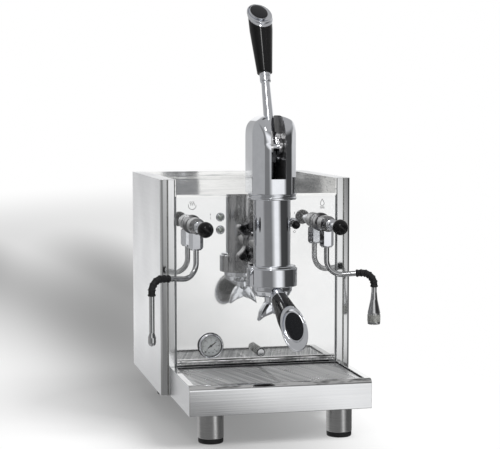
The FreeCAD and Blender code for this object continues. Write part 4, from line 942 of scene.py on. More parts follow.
@dataclass
class Case(Assembly):
    """The cheeks, panels, cup tray and feet."""

    half_width: float = 165
    inner: float = 140.4
    back: float = FRONT_Y + 317.0
    low: float = 51
    high: float = 415
    nose: float = 5
    splay: float = 0.5
    outer_splay: float = 1.4
    groove: Span = (152, 154)
    groove_depth: float = 2
    groove_round: float = 0.6
    polished: float = 12
    lip: Span = (102.4, 110.6)
    lip_half: float = 137.6
    lip_ahead: float = 1.9
    lip_bulge: float = 0.9
    lip_steps: int = 12
    foot_radius: float = 21
    foot_x: float = 107
    foot_y: Span = (FRONT_Y - 131, FRONT_Y + 270)
    pad_height: float = 8
    pad_inset: float = 0.6
    pad_gap: float = 0.4

    def cheek(self, side: int) -> Mesh:
        """One cheek: a folded sheet with a round front edge and a joint line down it.

        Args:
            side: 1 for the right one, -1 for the left one.

        Returns:
            Its mesh, satin outside and half polished in front and inside.
        """
        bend = FRONT_Y + self.splay
        floor = bend + self.groove_depth
        left, right = self.groove
        corners = [
            (self.inner, self.back, 0), (self.inner, FRONT_Y, 2), (left, bend, self.groove_round),
            (left, floor, 0), (right, floor, 0), (right, bend, self.groove_round),
            (self.half_width, bend + self.outer_splay, self.nose), (self.half_width, self.back, 1.5)]
        outline = [Vector((p.x * side, p.y, 0)) for p in fillet(corners, True, 8)]
        mesh = soften(raised(outline, UPRIGHT, self.low, self.high), 0.8, 3, 50)

        def choose(place: Vector, normal: Vector) -> int:
            """Finds the groove, then the faces in front and inside.

            Args:
                place: A face's middle.
                normal: The face's normal.

            Returns:
                The finish's place in the list.
            """
            depth = place.y - FRONT_Y
            if left - 0.1 < abs(place.x) < right + 0.1 and self.splay + 0.7 < depth < self.polished:
                return 2
            return int((normal.y < -0.1 and depth < self.polished) or normal.x * side < -0.5)
        return paint(mesh, (SATIN_SHEET, SEMI_POLISHED, HUB_STEEL), choose)

    def feet(self) -> None:
        """Builds the four feet: turned sleeves on rubber pads."""
        spots = [(x, y, 0) for x in (-self.foot_x, self.foot_x) for y in self.foot_y]
        radius = self.foot_radius
        pad = radius - self.pad_inset
        joint = self.pad_height + self.pad_gap
        sleeve = [(0, joint), (radius - 1, joint), (radius, joint, 0.5), (radius, self.low),
                  (0, self.low)]
        self.copies("foot_sleeves_turned", turned(sleeve, UPRIGHT), spots, TURNED_STEEL, "foot_sleeves")
        rubber = [(0, 0), (radius - 1, 0, 1.5), (pad, 3, 1), (pad, self.pad_height, 0.8),
                  (0, joint)]
        self.copies("foot_pads_moulded", turned(rubber, UPRIGHT), spots, RUBBER, "foot_pads")

    def panel_lip(self) -> Mesh:
        """The rounded strip along the panel's lower lip.

        Returns:
            Its mesh.
        """
        low, high = self.lip
        bulge = []
        for i in range(self.lip_steps + 1):
            y = FRONT_Y - self.lip_ahead - self.lip_bulge * math.sin(math.pi * i / self.lip_steps)
            bulge.append(Vector((y, low + (high - low) * i / self.lip_steps, 0)))
        return raised(list(reversed(bulge)), ACROSS, -self.lip_half, self.lip_half)

    def build(self) -> None:
        """Builds and dresses the case."""
        for side, name in SIDES:
            self.add(f"cheek_{name}", self.cheek(side), SATIN_SHEET, "case", f"side_panel_{name}",
                     smooth=None)
        self.feet()
        self.add("panel_lip_rolled", self.panel_lip(), ROLLED_SHEET, "case")
        self.keep(MIRROR_SHEET, "front_panel")
        self.keep(WHEELED_SHEET, "cup_tray")
        self.keep(SATIN_SHEET, "back_panel")
        self.keep(POLYAMIDE, "power_inlet")
        self.keep(ZINC, "chassis")
        self.keep(COPPER, "boiler", "boiler_pipes")
        self.keep(TANK, "water_tank")
        self.keep(DARK_STEEL, "heating_element", "pump")


@dataclass
class DripTray(Assembly):
    """The drawer under the group and its slotted grate."""

    half: float = 149.75
    front: float = FRONT_Y - 173.0
    back: float = FRONT_Y - 2.0
    low: float = 51
    high: float = 99.4
    edge: float = 9
    rim: float = 10
    wall: float = 3
    ledge: float = 5
    ledge_depth: float = 2.3
    bowl_floor: float = 56.3
    under_floor: float = 54.3
    over: float = 5
    grate_top: float = 96.5
    grate_thickness: float = 2
    grate_gap: float = 1.3
    border: float = 9
    rib: float = 8
    slat_width: float = 3
    slat_gap: float = 3.1
    slat_round: float = 0.8

    def drawer(self) -> Mesh:
        """The drawer: rounded along the top of its front, with a recess for the grate and a bowl.

        Returns:
            Its mesh.
        """
        outline = fillet([(self.front, self.low, 1), (self.back, self.low, 0),
                          (self.back, self.high, 0), (self.front, self.high, self.edge)], True, 8)
        body = raised(outline, ACROSS, -self.half, self.half)
        inner = self.half - self.rim
        near = self.front + self.rim
        far = self.back - self.wall
        side = self.half - self.wall
        recess = box_mesh((-inner, near, self.grate_top - self.ledge_depth),
                          (inner, far, self.high + self.over))
        bowl = box_mesh((-inner + self.ledge, near + self.ledge, self.bowl_floor),
                        (inner - self.ledge, far - self.ledge, self.high))
        under = box_mesh((-side, self.front + self.wall, self.low - self.over),
                         (side, self.back + self.over, self.under_floor))
        return soften(carve(body, Cut.REST, recess, bowl, under), 0.7, 3, 40)

    def drawer_finish(self, place: Vector, normal: Vector) -> int:
        """Finds the recess, the rolled edge, the other tops and the sides; the rest is the front.

        Args:
            place: A face's middle.
            normal: The face's normal.

        Returns:
            The finish's place in the list.
        """
        # Faces in the recess under the grate take the dark steel as painted shade.
        inside = abs(place.x) < self.half - self.rim + 0.3 and place.y > self.front + self.rim - 0.3
        if inside and place.z < self.high - 0.9:
            return 3
        if normal.z > 0.3:
            return 4 if normal.y < -0.2 else 1
        return 2 if abs(normal.x) > 0.5 else 0

    def grate(self) -> Mesh:
        """The grate: a border, a middle rib and rows of slats between them.

        Returns:
            Its mesh.
        """
        inner = self.half - self.rim - self.grate_gap
        near = self.front + self.rim + self.grate_gap
        far = self.back - self.wall - self.grate_gap
        low = self.grate_top - self.grate_thickness
        pitch = self.slat_width + self.slat_gap
        start = near + self.border + self.slat_gap
        count = int((far - self.border - start) // pitch) + 1
        end = start + count * pitch - self.slat_gap
        shape = Shape()
        shape.block((-inner, near, low), (inner, near + self.border, self.grate_top))
        shape.block((-inner, end, low), (inner, far, self.grate_top))
        for x, wide in ((-inner, self.border), (inner - self.border, self.border),
                        (-self.rib / 2, self.rib)):
            shape.block((x, near + self.border, low), (x + wide, end, self.grate_top))
        section = fillet([
            (0, low, 0), (self.slat_width, low, 0),
            (self.slat_width, self.grate_top, self.slat_round),
            (0, self.grate_top, self.slat_round)], True, 3)
        slat = raised(section, ACROSS, -inner + self.border, inner - self.border)
        return self.bench.row.make(shape.to_mesh(), GRATE_STEEL, Copy=slat, Count=count,
                                   Start=(0.0, start / METRE, 0.0), Step=(0.0, pitch / METRE, 0.0))

    def build(self) -> None:
        """Builds and dresses the drawer and the grate."""
        finishes = (SATIN_FRONT, MIRROR_SHEET, SATIN_SHEET, DARK_STEEL, ROLLED_SHEET)
        drawer = paint(self.drawer(), finishes, self.drawer_finish)
        self.add("drip_drawer_folded", drawer, SATIN_FRONT, "drip_drawer", "drip_tray", smooth=None)
        self.add("drip_grate_slotted", self.grate(), GRATE_STEEL, "grate", "drip_grate")


@dataclass
class Group(Assembly):
    """The brew cylinder on its bolted neck, the bell and the lever housing."""

    radius: float = 30
    bore: float = 26.3
    low: float = 280
    high: float = 387
    cap: float = 12
    rod_hole: float = 5
    neck: float = 19
    neck_z: float = 308
    neck_length: float = 80
    flare: float = 5
    bell: float = 41
    bell_z: Span = (247, 276)
    bell_top: float = 38
    gasket: float = 36
    gasket_z: Span = (259, 262)
    groove: float = 39
    groove_low: float = 250
    mouth: float = 35
    notch: Span = (38.8, 13)
    notch_turn: float = -45
    notch_over: float = 5
    coil: float = 20
    coils: int = 6
    coil_steps: int = 28
    wire: float = 2.4
    stroke: float = 31.8
    bolts: Span = (27, 24)
    bolt_radius: float = 6
    bolt_head: float = 5
    boss: float = 7
    flange: float = 10
    hollow: float = 22
    waist: float = 21
    waist_steps: int = 16
    ear_start: float = 240
    ear_step: float = 10
    ear_points: int = 16
    peak: float = 38
    half: float = 36
    rear: float = 39
    nose: float = 44
    flank: Span = (0.8726, 0.4887)
    flank_y: float = 15
    chamfer: Span = (0.371, 0.928)
    chamfer_at: Span = (22, 40)
    dome: float = 43.5
    dome_z: float = 481
    front_round_z: float = 478
    heart: Place = (0, -2, 460)
    heart_reach: float = 90
    around: int = 240
    wall_rows: int = 4
    dome_rows: int = 60
    halvings: int = 24
    slot: float = 12
    slot_low: float = 421
    rear_slot_low: float = 485
    wall: float = 10
    skin: float = 2
    over: float = 9
    ring: float = 10
    ring_outline: Outline = (
        (26, 387), (39.5, 387, 1), (39.5, 390.5, 0.8), (38.6, 391.2, 0.3), (38.6, 394, 0.3),
        (39.5, 394.7, 0.5), (39.5, 397, 0.6), (26, 397))
    pin: Outline = ((0, -31), (5, -31, 0.8), (5, 31, 0.8), (0, 31))

    def neck_seat(self) -> Matrix:
        """The frame on the panel, looking along the neck."""
        return aim((0, PANEL_Y, self.neck_z), TOWARDS_FRONT)

    def cylinder(self) -> Mesh:
        """The cylinder with its neck.

        Returns:
            Its mesh.
        """
        under = self.high - self.cap
        shape = Shape().lathe([
            (self.bore, self.low), (self.radius, self.low), (self.radius, self.high),
            (self.rod_hole, self.high), (self.rod_hole, under), (self.bore, under)], GROUP_AXIS, 128, True)
        shape.lathe([
            (0, 0), (self.neck + self.flare, 0), (self.neck, self.flange + self.flare, 6),
            (self.neck, self.neck_length), (0, self.neck_length)], self.neck_seat())
        return shape.to_mesh()

    def spring(self) -> None:
        """Builds the wound spring over the piston."""
        low, high = (corner.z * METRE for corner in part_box("piston_spring"))
        rise = high - low - 2 * self.wire
        steps = self.coil_steps * self.coils
        path = []
        for i in range(steps + 1):
            turn = 2 * math.pi * self.coils * i / steps
            path.append(Vector((self.coil * math.cos(turn), GROUP_Y + self.coil * math.sin(turn),
                                low + self.wire + rise * i / steps)))
        mesh = Shape().sweep(path, self.wire, 14).to_mesh()
        piece = self.add("piston_spring_wound", mesh, DARK_STEEL, "piston", "piston_spring")
        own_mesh(piece)

    def flange_plate(self) -> Mesh:
        """The flange on the panel: four ears, hollow sides and a peak above and below.

        Returns:
            Its mesh.
        """
        ear_x, ear_z = self.bolts
        turns = [math.radians(self.ear_start + self.ear_step * i) for i in range(self.ear_points)]
        ear = [Vector((ear_x + self.boss * math.cos(a), self.boss * math.sin(a) - ear_z, 0))
               for a in turns]
        reach = math.asin((ear_z - self.boss * 0.8) / self.hollow)
        turns = [math.pi + reach * (1 - 2 * i / self.waist_steps) for i in range(self.waist_steps + 1)]
        waist = [Vector((self.waist + self.hollow * (1 + math.cos(a)), self.hollow * math.sin(a), 0))
                 for a in turns]
        peak = Vector((0, -self.peak, 0))
        right = [peak, *ear, *waist, *[Vector((p.x, -p.y, 0)) for p in reversed(ear)]]
        left = [Vector((-p.x, -p.y, 0)) for p in right]
        return soften(raised([*right, *left], self.neck_seat(), 0, self.flange), 1.2, 3, 50)

    def bell_ring(self) -> Mesh:
        """The bell: a stepped ring with the bayonet's groove and its two ways in.

        Returns:
            Its mesh.
        """
        low, high = self.bell_z
        seat_low, seat_high = self.gasket_z
        ring = turned([
            (self.bore, seat_high), (self.gasket, seat_high), (self.gasket, seat_low),
            (self.groove, seat_low), (self.groove, self.groove_low), (self.mouth, self.groove_low, 0.5),
            (self.mouth, low, 0.5), (self.bell, low, 1.2), (self.bell, high, 1),
            (self.bell_top + 0.5, high + 0.6, 0.4), (self.bell_top, self.low, 1.2), (self.bore, self.low)],
            GROUP_AXIS, 128, True)
        wide, deep = self.notch
        seat = GROUP_AXIS @ Matrix.Rotation(math.radians(self.notch_turn), 4, "Z")
        notch = raised(rectangle((-wide, -deep), (wide, deep)), seat, low - self.notch_over, self.groove_low)
        return carve(ring, Cut.REST, notch)

    def outside(self, x: float, y: float, z: float) -> float:
        """How far a point stands outside the housing: flat sides, chamfered front, round top.

        Args:
            x: Place across, from the group's axis.
            y: Place from front to back, from the group's axis.
            z: Height.

        Returns:
            A distance that is negative inside.
        """
        side = abs(x) - self.half
        sides = rounded_max(side, self.flank[0] * side - self.flank[1] * (y + self.flank_y), 1.2)
        across, ahead = self.chamfer_at
        slant = self.chamfer[0] * (abs(x) - across) - self.chamfer[1] * (y + ahead)
        front = rounded_max(slant, -y - self.nose, 2)
        walls = rounded_max(rounded_max(sides, front, 2), y - self.rear, 3)
        dome = math.hypot(x, max(z - self.dome_z, 0)) - self.dome
        bend = self.dome_z + self.dome - self.front_round_z
        behind = min(y + self.nose - bend, 0)
        crown = math.hypot(behind, max(z - self.front_round_z, 0)) - bend
        crown -= max(self.front_round_z - z, 0) / 2
        return rounded_max(walls, rounded_max(dome, crown, 6), 7)

    def surface(self, start: Vector, direction: Vector) -> Vector:
        """The place where a line from inside the housing leaves it.

        Args:
            start: Where the line starts.
            direction: Where it goes.

        Returns:
            The place.
        """
        near = 0
        far = self.heart_reach
        for _ in range(self.halvings):
            middle = (near + far) / 2
            if self.outside(*(start + direction * middle)) < 0:
                near = middle
            else:
                far = middle
        return start + direction * near

    def housing(self) -> Mesh:
        """The lever housing: chamfered in plan, domed above, with a slot for the lever.

        Returns:
            Its mesh.
        """
        low = self.high + self.ring
        turns = circle(self.around)
        heart = Vector(self.heart)
        rows = [[Vector((heart.x, heart.y, low))] * len(turns)]
        for step in range(self.wall_rows):
            height = low + (heart.z - low) * step / self.wall_rows
            start = Vector((heart.x, heart.y, height))
            rows.append([self.surface(start, Vector((math.cos(a), math.sin(a), 0))) for a in turns])
        for step in range(self.dome_rows):
            climb = math.pi / 2 * step / self.dome_rows
            flat = math.cos(climb)
            rays = [Vector((flat * math.cos(a), flat * math.sin(a), math.sin(climb))) for a in turns]
            rows.append([self.surface(heart, ray) for ray in rays])
        rows.append([self.surface(heart, Vector((0, 0, 1)))] * len(turns))
        block = Shape().grid([[GROUP_AXIS @ p for p in row] for row in rows]).to_mesh()
        front = GROUP_Y - self.nose
        back = GROUP_Y + self.rear
        top = self.dome_z + self.dome + self.over
        well = box_mesh((-self.slot, front + self.wall, low), (self.slot, back - self.wall, top))
        mouth = box_mesh((-self.slot, front - self.over, self.slot_low), (self.slot, GROUP_Y, top))
        rear = box_mesh((-self.slot, GROUP_Y, self.rear_slot_low), (self.slot, back + self.over, top))
        return soften(carve(block, Cut.REST, well, mouth, rear), 1.4, 4, 40)

    def housing_finish(self, place: Vector, normal: Vector) -> int:
        """Finds the slot's inside and the rear, both dark with painted shade.

        Args:
            place: A face's middle.
            normal: The face's normal.

        Returns:
            The finish's place in the list.
        """
        middle = abs(place.x) < self.slot + 0.2
        near = GROUP_Y - self.nose + self.wall - self.skin
        inside = near < place.y < GROUP_Y + self.rear - self.skin and place.z < self.dome_z + 20
        if middle and (inside or abs(normal.x) > 0.9):
            return 1
        return 2 if normal.y > 0.5 else 0

    def rear_finish(self, place: Vector, normal: Vector) -> int:
        """Finds what faces the panel or lies behind the bell, and takes the darker chrome as painted shade.
        """
        return int(place.y > GROUP_Y + self.bell or normal.y > 0.3)

    def build(self) -> None:
        """Builds and dresses the group."""
        plated = (CHROME, DULL_CHROME)
        cylinder = paint(self.cylinder(), plated, self.rear_finish)
        self.add("group_cylinder_cast", cylinder, CHROME, "case", "group_body")
        self.add("group_flange_cast", self.flange_plate(), DULL_CHROME, "case", smooth=None)
        bell = paint(self.bell_ring(), plated, self.rear_finish)
        self.add("group_bell_turned", bell, CHROME, "case", "group_bell")
        housing = paint(self.housing(), (CHROME, SLOT_DARK, PAINTED_SHADE_CAST), self.housing_finish)
        self.add("lever_housing_cast", housing, CHROME, "case", "lever_housing", smooth=None)
        ring = turned(self.ring_outline, GROUP_AXIS, 128, True)
        self.add("lever_housing_ring", ring, CHROME, "case")
        facing = aim((0, PANEL_Y - self.flange, 0), TOWARDS_FRONT)
        head = soften(raised(hexagon(self.bolt_radius), facing, 0, self.bolt_head), 0.6)
        places = [(x * self.bolts[0], 0, self.neck_z + z * self.bolts[1])
                  for x in (-1, 1) for z in (-1, 1)]
        self.copies("flange_bolts_hexagon", head, places, DARK_STEEL, "flange_bolts", smooth=None)
        pin = turned(self.pin, aim(PIVOT, (1, 0, 0), (0, 1, 0)), 48)
        self.add("pivot_pin_ground", pin, CHROME, "case", "pivot_pin")
        self.keep(RUBBER, "group_gasket", "piston_seal")
        self.keep(TUBE, "shower_screen")
        # Dark steel on the piston rod is painted shade for where it stands in the slot.
        self.keep(DARK_STEEL, "piston", "piston_rod")
        self.spring()


@dataclass
class Grip(Assembly):
    """A black grip with a bright end whose slanting face carries an oval plate."""

    name: str
    origin: Place
    direction: Place
    side: int
    cut: float
    collar: float = 0
    root: float = 12.5
    end: float = 19.2
    length: float = 76
    end_radius: float = 20.6
    end_length: float = 74
    cut_start: float = 5
    cut_reach: float = 90
    ring: float = 5.2
    dish: float = 2.4
    plate: Span = (14.8, 25.4)
    plate_shift: float = 5.6
    dish_steps: int = 120
    plate_steps: int = 96
    # Rings of (share of the way from the end's edge to the plate's, height over the slanting face).
    dish_rings: Outline = (
        (0, -2.6), (0, -1.6), (0.02, -0.7), (0.06, -0.15), (0.12, 0.1), (0.2, 0.15), (0.3, -0.1),
        (0.45, -0.8), (0.62, -1.5), (0.8, -1.7), (0.92, -1.4), (1, -0.9), (1.15, -2))
    # Rings of (share of the plate's size, height over the slanting face).
    plate_rings: Outline = (
        (0, -2.2), (0.99, -2.2), (0.99, -0.3), (0.96, 0.1), (0.8, 0.5), (0.6, 0.8), (0.4, 1), (0.2, 1.1),
        (0, 1.12))
    bead_rings: Outline = ((0.99, -0.8), (1.03, -0.2), (1.02, 0.2), (0.98, 0.3), (0.95, 0), (0.94, -0.8))

    def seat(self) -> Matrix:
        """The frame at the grip's root."""
        return aim(self.origin, self.direction)

    def face(self) -> Matrix:
        """The slanting face's frame.

        Returns:
            A frame whose Z axis stands on the face and whose Y axis runs along it.
        """
        x = Vector((1, 0, 0))
        z = Vector((0, self.side * math.sin(self.cut), math.cos(self.cut)))
        y = z.cross(x)
        matrix = Matrix((x, y, z)).transposed().to_4x4()
        matrix.translation = Vector((0, 0, self.cut_start + self.end_radius * math.tan(self.cut)))
        return self.seat() @ Matrix.Translation((0, 0, self.length)) @ matrix

    def blank(self, foot: Outline) -> Mesh:
        """The handle before its end is cut, from the outline of its foot."""
        top = self.length + self.end_length
        return turned([*foot, (self.end_radius, top), (0, top)], self.seat())

    def slab(self, low: float, high: float) -> Mesh:
        """A slab that lies along the slanting face, between two heights from it."""
        reach = self.cut_reach
        return raised(rectangle((-reach, -reach), (reach, reach)), self.face(), low, high)

    def handle(self) -> Mesh:
        """The grip: slim at its root, widening evenly, and cut aslant under the bright ring."""
        blank = self.blank([(0, 0), (self.root, 0, 1.2), (self.end, self.length, 30)])
        return soften(carve(blank, Cut.REST, self.slab(-self.ring, self.cut_reach)), 0.5, 2, 30)

    def root_collar(self) -> Mesh:
        """A bright collar that sheathes the grip's root.

        Returns:
            Its mesh.
        """
        slope = (self.end - self.root) / self.length
        wide = self.root + 0.4
        inner = self.root - 2
        edge = self.collar - 1.5
        return turned([
            (inner, 0), (wide - 1, 0, 0.6), (wide, 2, 0.6), (wide + slope * edge, edge, 0.5),
            (wide + slope * self.collar - 0.6, self.collar, 0.3), (inner, self.collar)],
            self.seat(), 96, True)

    def bright_end(self) -> Mesh:
        """The bright ring on the slanting end, its rim rounded over.

        Returns:
            Its mesh.
        """
        low = self.length * 0.6
        blank = self.blank([(0, low), (self.end_radius, low)])
        return soften(carve(blank, Cut.COMMON, self.slab(-self.ring, -self.dish)), 1, 3, 30)

    def dished_face(self) -> Mesh:
        """The ring's face: a rounded lip, then a hollow that runs down to the plate.

        Returns:
            Its mesh.
        """
        face = self.face()
        wide, tall = self.plate
        far = self.end_radius / math.cos(self.cut)
        rows = []
        for share, height in self.dish_rings:
            semi_x = self.end_radius + (wide - self.end_radius) * share
            semi_y = far + (tall - far) * share
            shift = self.plate_shift * share
            rows.append([face @ Vector((semi_x * math.cos(a), semi_y * math.sin(a) + shift, height))
                         for a in circle(self.dish_steps)])
        return Shape().grid(rows, True).to_mesh()

    def oval(self, rings: Outline) -> Mesh:
        """An oval on the slanting face.

        Args:
            rings: Its rings, as (share of the plate's size, height).

        Returns:
            Its mesh.
        """
        face = self.face() @ Matrix.Translation((0, self.plate_shift, 0))
        wide, tall = self.plate
        rows = []
        for share, height in rings:
            rows.append([face @ Vector((wide * share * math.cos(a), tall * share * math.sin(a), height))
                         for a in circle(self.plate_steps)])
        return Shape().grid(rows).to_mesh()

    def build(self) -> None:
        """Builds and dresses the grip."""
        name = self.name
        self.add(f"{name}_grip_moulded", self.handle(), PHENOLIC, name, f"{name}_grip")
        self.add(f"{name}_end_cast", self.bright_end(), CHROME, name, f"{name}_end", smooth=None)
        self.add(f"{name}_end_face", self.dished_face(), CHROME, name)
        if self.collar:
            self.add(f"{name}_grip_collar", self.root_collar(), CHROME, name)
        self.add(f"{name}_badge_bare", self.oval(self.plate_rings), ENAMEL, name, f"{name}_badge")
        self.add(f"{name}_badge_rim", self.oval(self.bead_rings), CHROME, name)


@dataclass
class Lever(Assembly):
    """The lever: hub, rod and ferrule, and the line that its grip follows."""

    lean: float = math.radians(20)
    offset: float = 22
    grip_start: float = 134
    grip_cut: float = math.radians(51)
    rod: Outline = ((0, 26), (10, 26), (10, 30, 0.6), (8.5, 31, 0.4), (7, 120), (0, 120))
    ferrule: Outline = (
        (0, 118.6), (8.2, 118.6, 0.5), (9, 120, 0.5), (9, 126, 0.4), (8.3, 126.6, 0.2), (8.3, 127.6, 0.2),
        (9, 128.2, 0.4), (9.2, 134, 0.5), (0, 134))

    def axis(self) -> Place:
        """The direction of the rod."""
        return 0, math.sin(self.lean), math.cos(self.lean)

    def foot(self, distance: float) -> Place:
        """A point on the rod's line.

        Args:
            distance: How far it is from the line's start beside the pivot.

        Returns:
            The point.
        """
        step = self.axis()
        y = PIVOT[1] + self.offset * math.cos(self.lean) + distance * step[1]
        z = PIVOT[2] - self.offset * math.sin(self.lean) + distance * step[2]
        return 0, y, z

    def build(self) -> None:
        """Builds and dresses the lever."""
        hub = soften(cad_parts["lever_hub"].data.copy(), 0.8, 3, 30)
        self.add("lever_hub_forged", hub, HUB_STEEL, "lever", "lever_hub", smooth=None)
        crank = soften(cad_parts["crank_pin"].data.copy(), 0.4, 2, 40)
        self.add("crank_pin_ground", crank, CHROME, "lever", "crank_pin", smooth=None)
        seat = aim(self.foot(0), self.axis())
        self.add("lever_rod_tapered", turned(self.rod, seat, 64), CHROME, "lever", "lever_rod")
        ferrule = turned(self.ferrule, seat, 64)
        self.add("lever_ferrule_turned", ferrule, CHROME, "lever", "lever_ferrule")
        Grip(self.bench, "lever", self.foot(self.grip_start), self.axis(), -1, self.grip_cut).build()


@dataclass
class Portafilter(Assembly):
    """The bowl with its lugs and collar, the spout and the grip."""

    bowl: float = 33
    bowl_bore: float = 29.6
    low: float = 230
    rim: float = 257.3
    floor: float = 233
    drain: float = 4
    lug: Outline = ((31, -10), (36.9, -10), (38.4, 0), (36.9, 10), (31, 10))
    lug_z: Span = (250.9, 255.1)
    droop: float = math.radians(20)
    root: Place = (0, GROUP_Y - 33, 237)
    collar: Outline = ((0, -3), (10.5, -3, 1), (9.5, 2, 1), (9.5, 8, 0.6), (0, 8))
    grip_start: float = 8
    grip_cut: float = math.radians(56)
    grip_collar: float = 15
    beak: float = 8.5
    beak_wall: float = 2.2
    beak_roof: Span = (1, 3.4)
    beak_edge: Outline = (
        (0, 228, 0), (12.6, 218.5, 16), (20.2, 205.5, 24), (24, 189, 0), (14, 196.2, 20), (0, 201.5, 0))
    boss: Outline = ((0, 214.5), (9, 214.5, 3), (12, 220, 1.5), (12, 230, 0.4), (0, 230))

    def axis(self) -> Place:
        """The direction of the handle."""
        return 0, -math.cos(self.droop), -math.sin(self.droop)

    def bowl_mesh(self) -> Mesh:
        """The bowl, its two lugs and the collar of its handle.

        Returns:
            Its mesh.
        """
        shape = Shape().lathe([
            (self.drain, self.low), (28.5, self.low, 5), (self.bowl, 239.5, 7),
            (self.bowl, self.rim, 0.6), (self.bowl_bore, self.rim, 0.4), (self.bowl_bore, self.floor),
            (self.drain, self.floor)], GROUP_AXIS, 128, True)
        for side in (-1, 1):
            outline = [Vector((side * x, GROUP_Y + y, 0)) for x, y in self.lug]
            shape.prism(outline, UPRIGHT, *self.lug_z)
        return shape.lathe(self.collar, aim(self.root, self.axis()), 64).to_mesh()

    def horn(self, side: int) -> Mesh:
        """One gutter of the spout: it curls down to a point like a beak, hollow underneath.

        Args:
            side: 1 for the right one, -1 for the left one.

        Returns:
            Its mesh.
        """
        looking = aim((0, GROUP_Y, 0), TOWARDS_FRONT)
        outline = [Vector((side * q.x, q.y, 0)) for q in fillet(self.beak_edge, True, 8)]
        whole = raised(outline, looking, -self.beak, self.beak)
        aside, down = self.beak_roof
        inner = [Vector((q.x - side * aside, q.y - down, 0)) for q in outline]
        wide = self.beak - self.beak_wall
        return carve(soften(whole, 1.8, 4, 40), Cut.REST, raised(inner, looking, -wide, wide))

    def build(self) -> None:
        """Builds and dresses the portafilter."""
        name = "portafilter"
        self.add("portafilter_bowl_cast", self.bowl_mesh(), CHROME, name, "portafilter_body")
        boss = turned(self.boss, GROUP_AXIS, 64)
        self.add("portafilter_spout_boss", boss, CHROME, name, "portafilter_spout")
        for side, word in SIDES:
            self.add(f"portafilter_horn_{word}", self.horn(side), CHROME, name)
        self.keep(TUBE, "filter_basket")
        step = self.axis()
        start = tuple(self.root[i] + self.grip_start * step[i] for i in range(3))
        Grip(self.bench, name, start, step, 1, self.grip_cut, self.grip_collar).build()


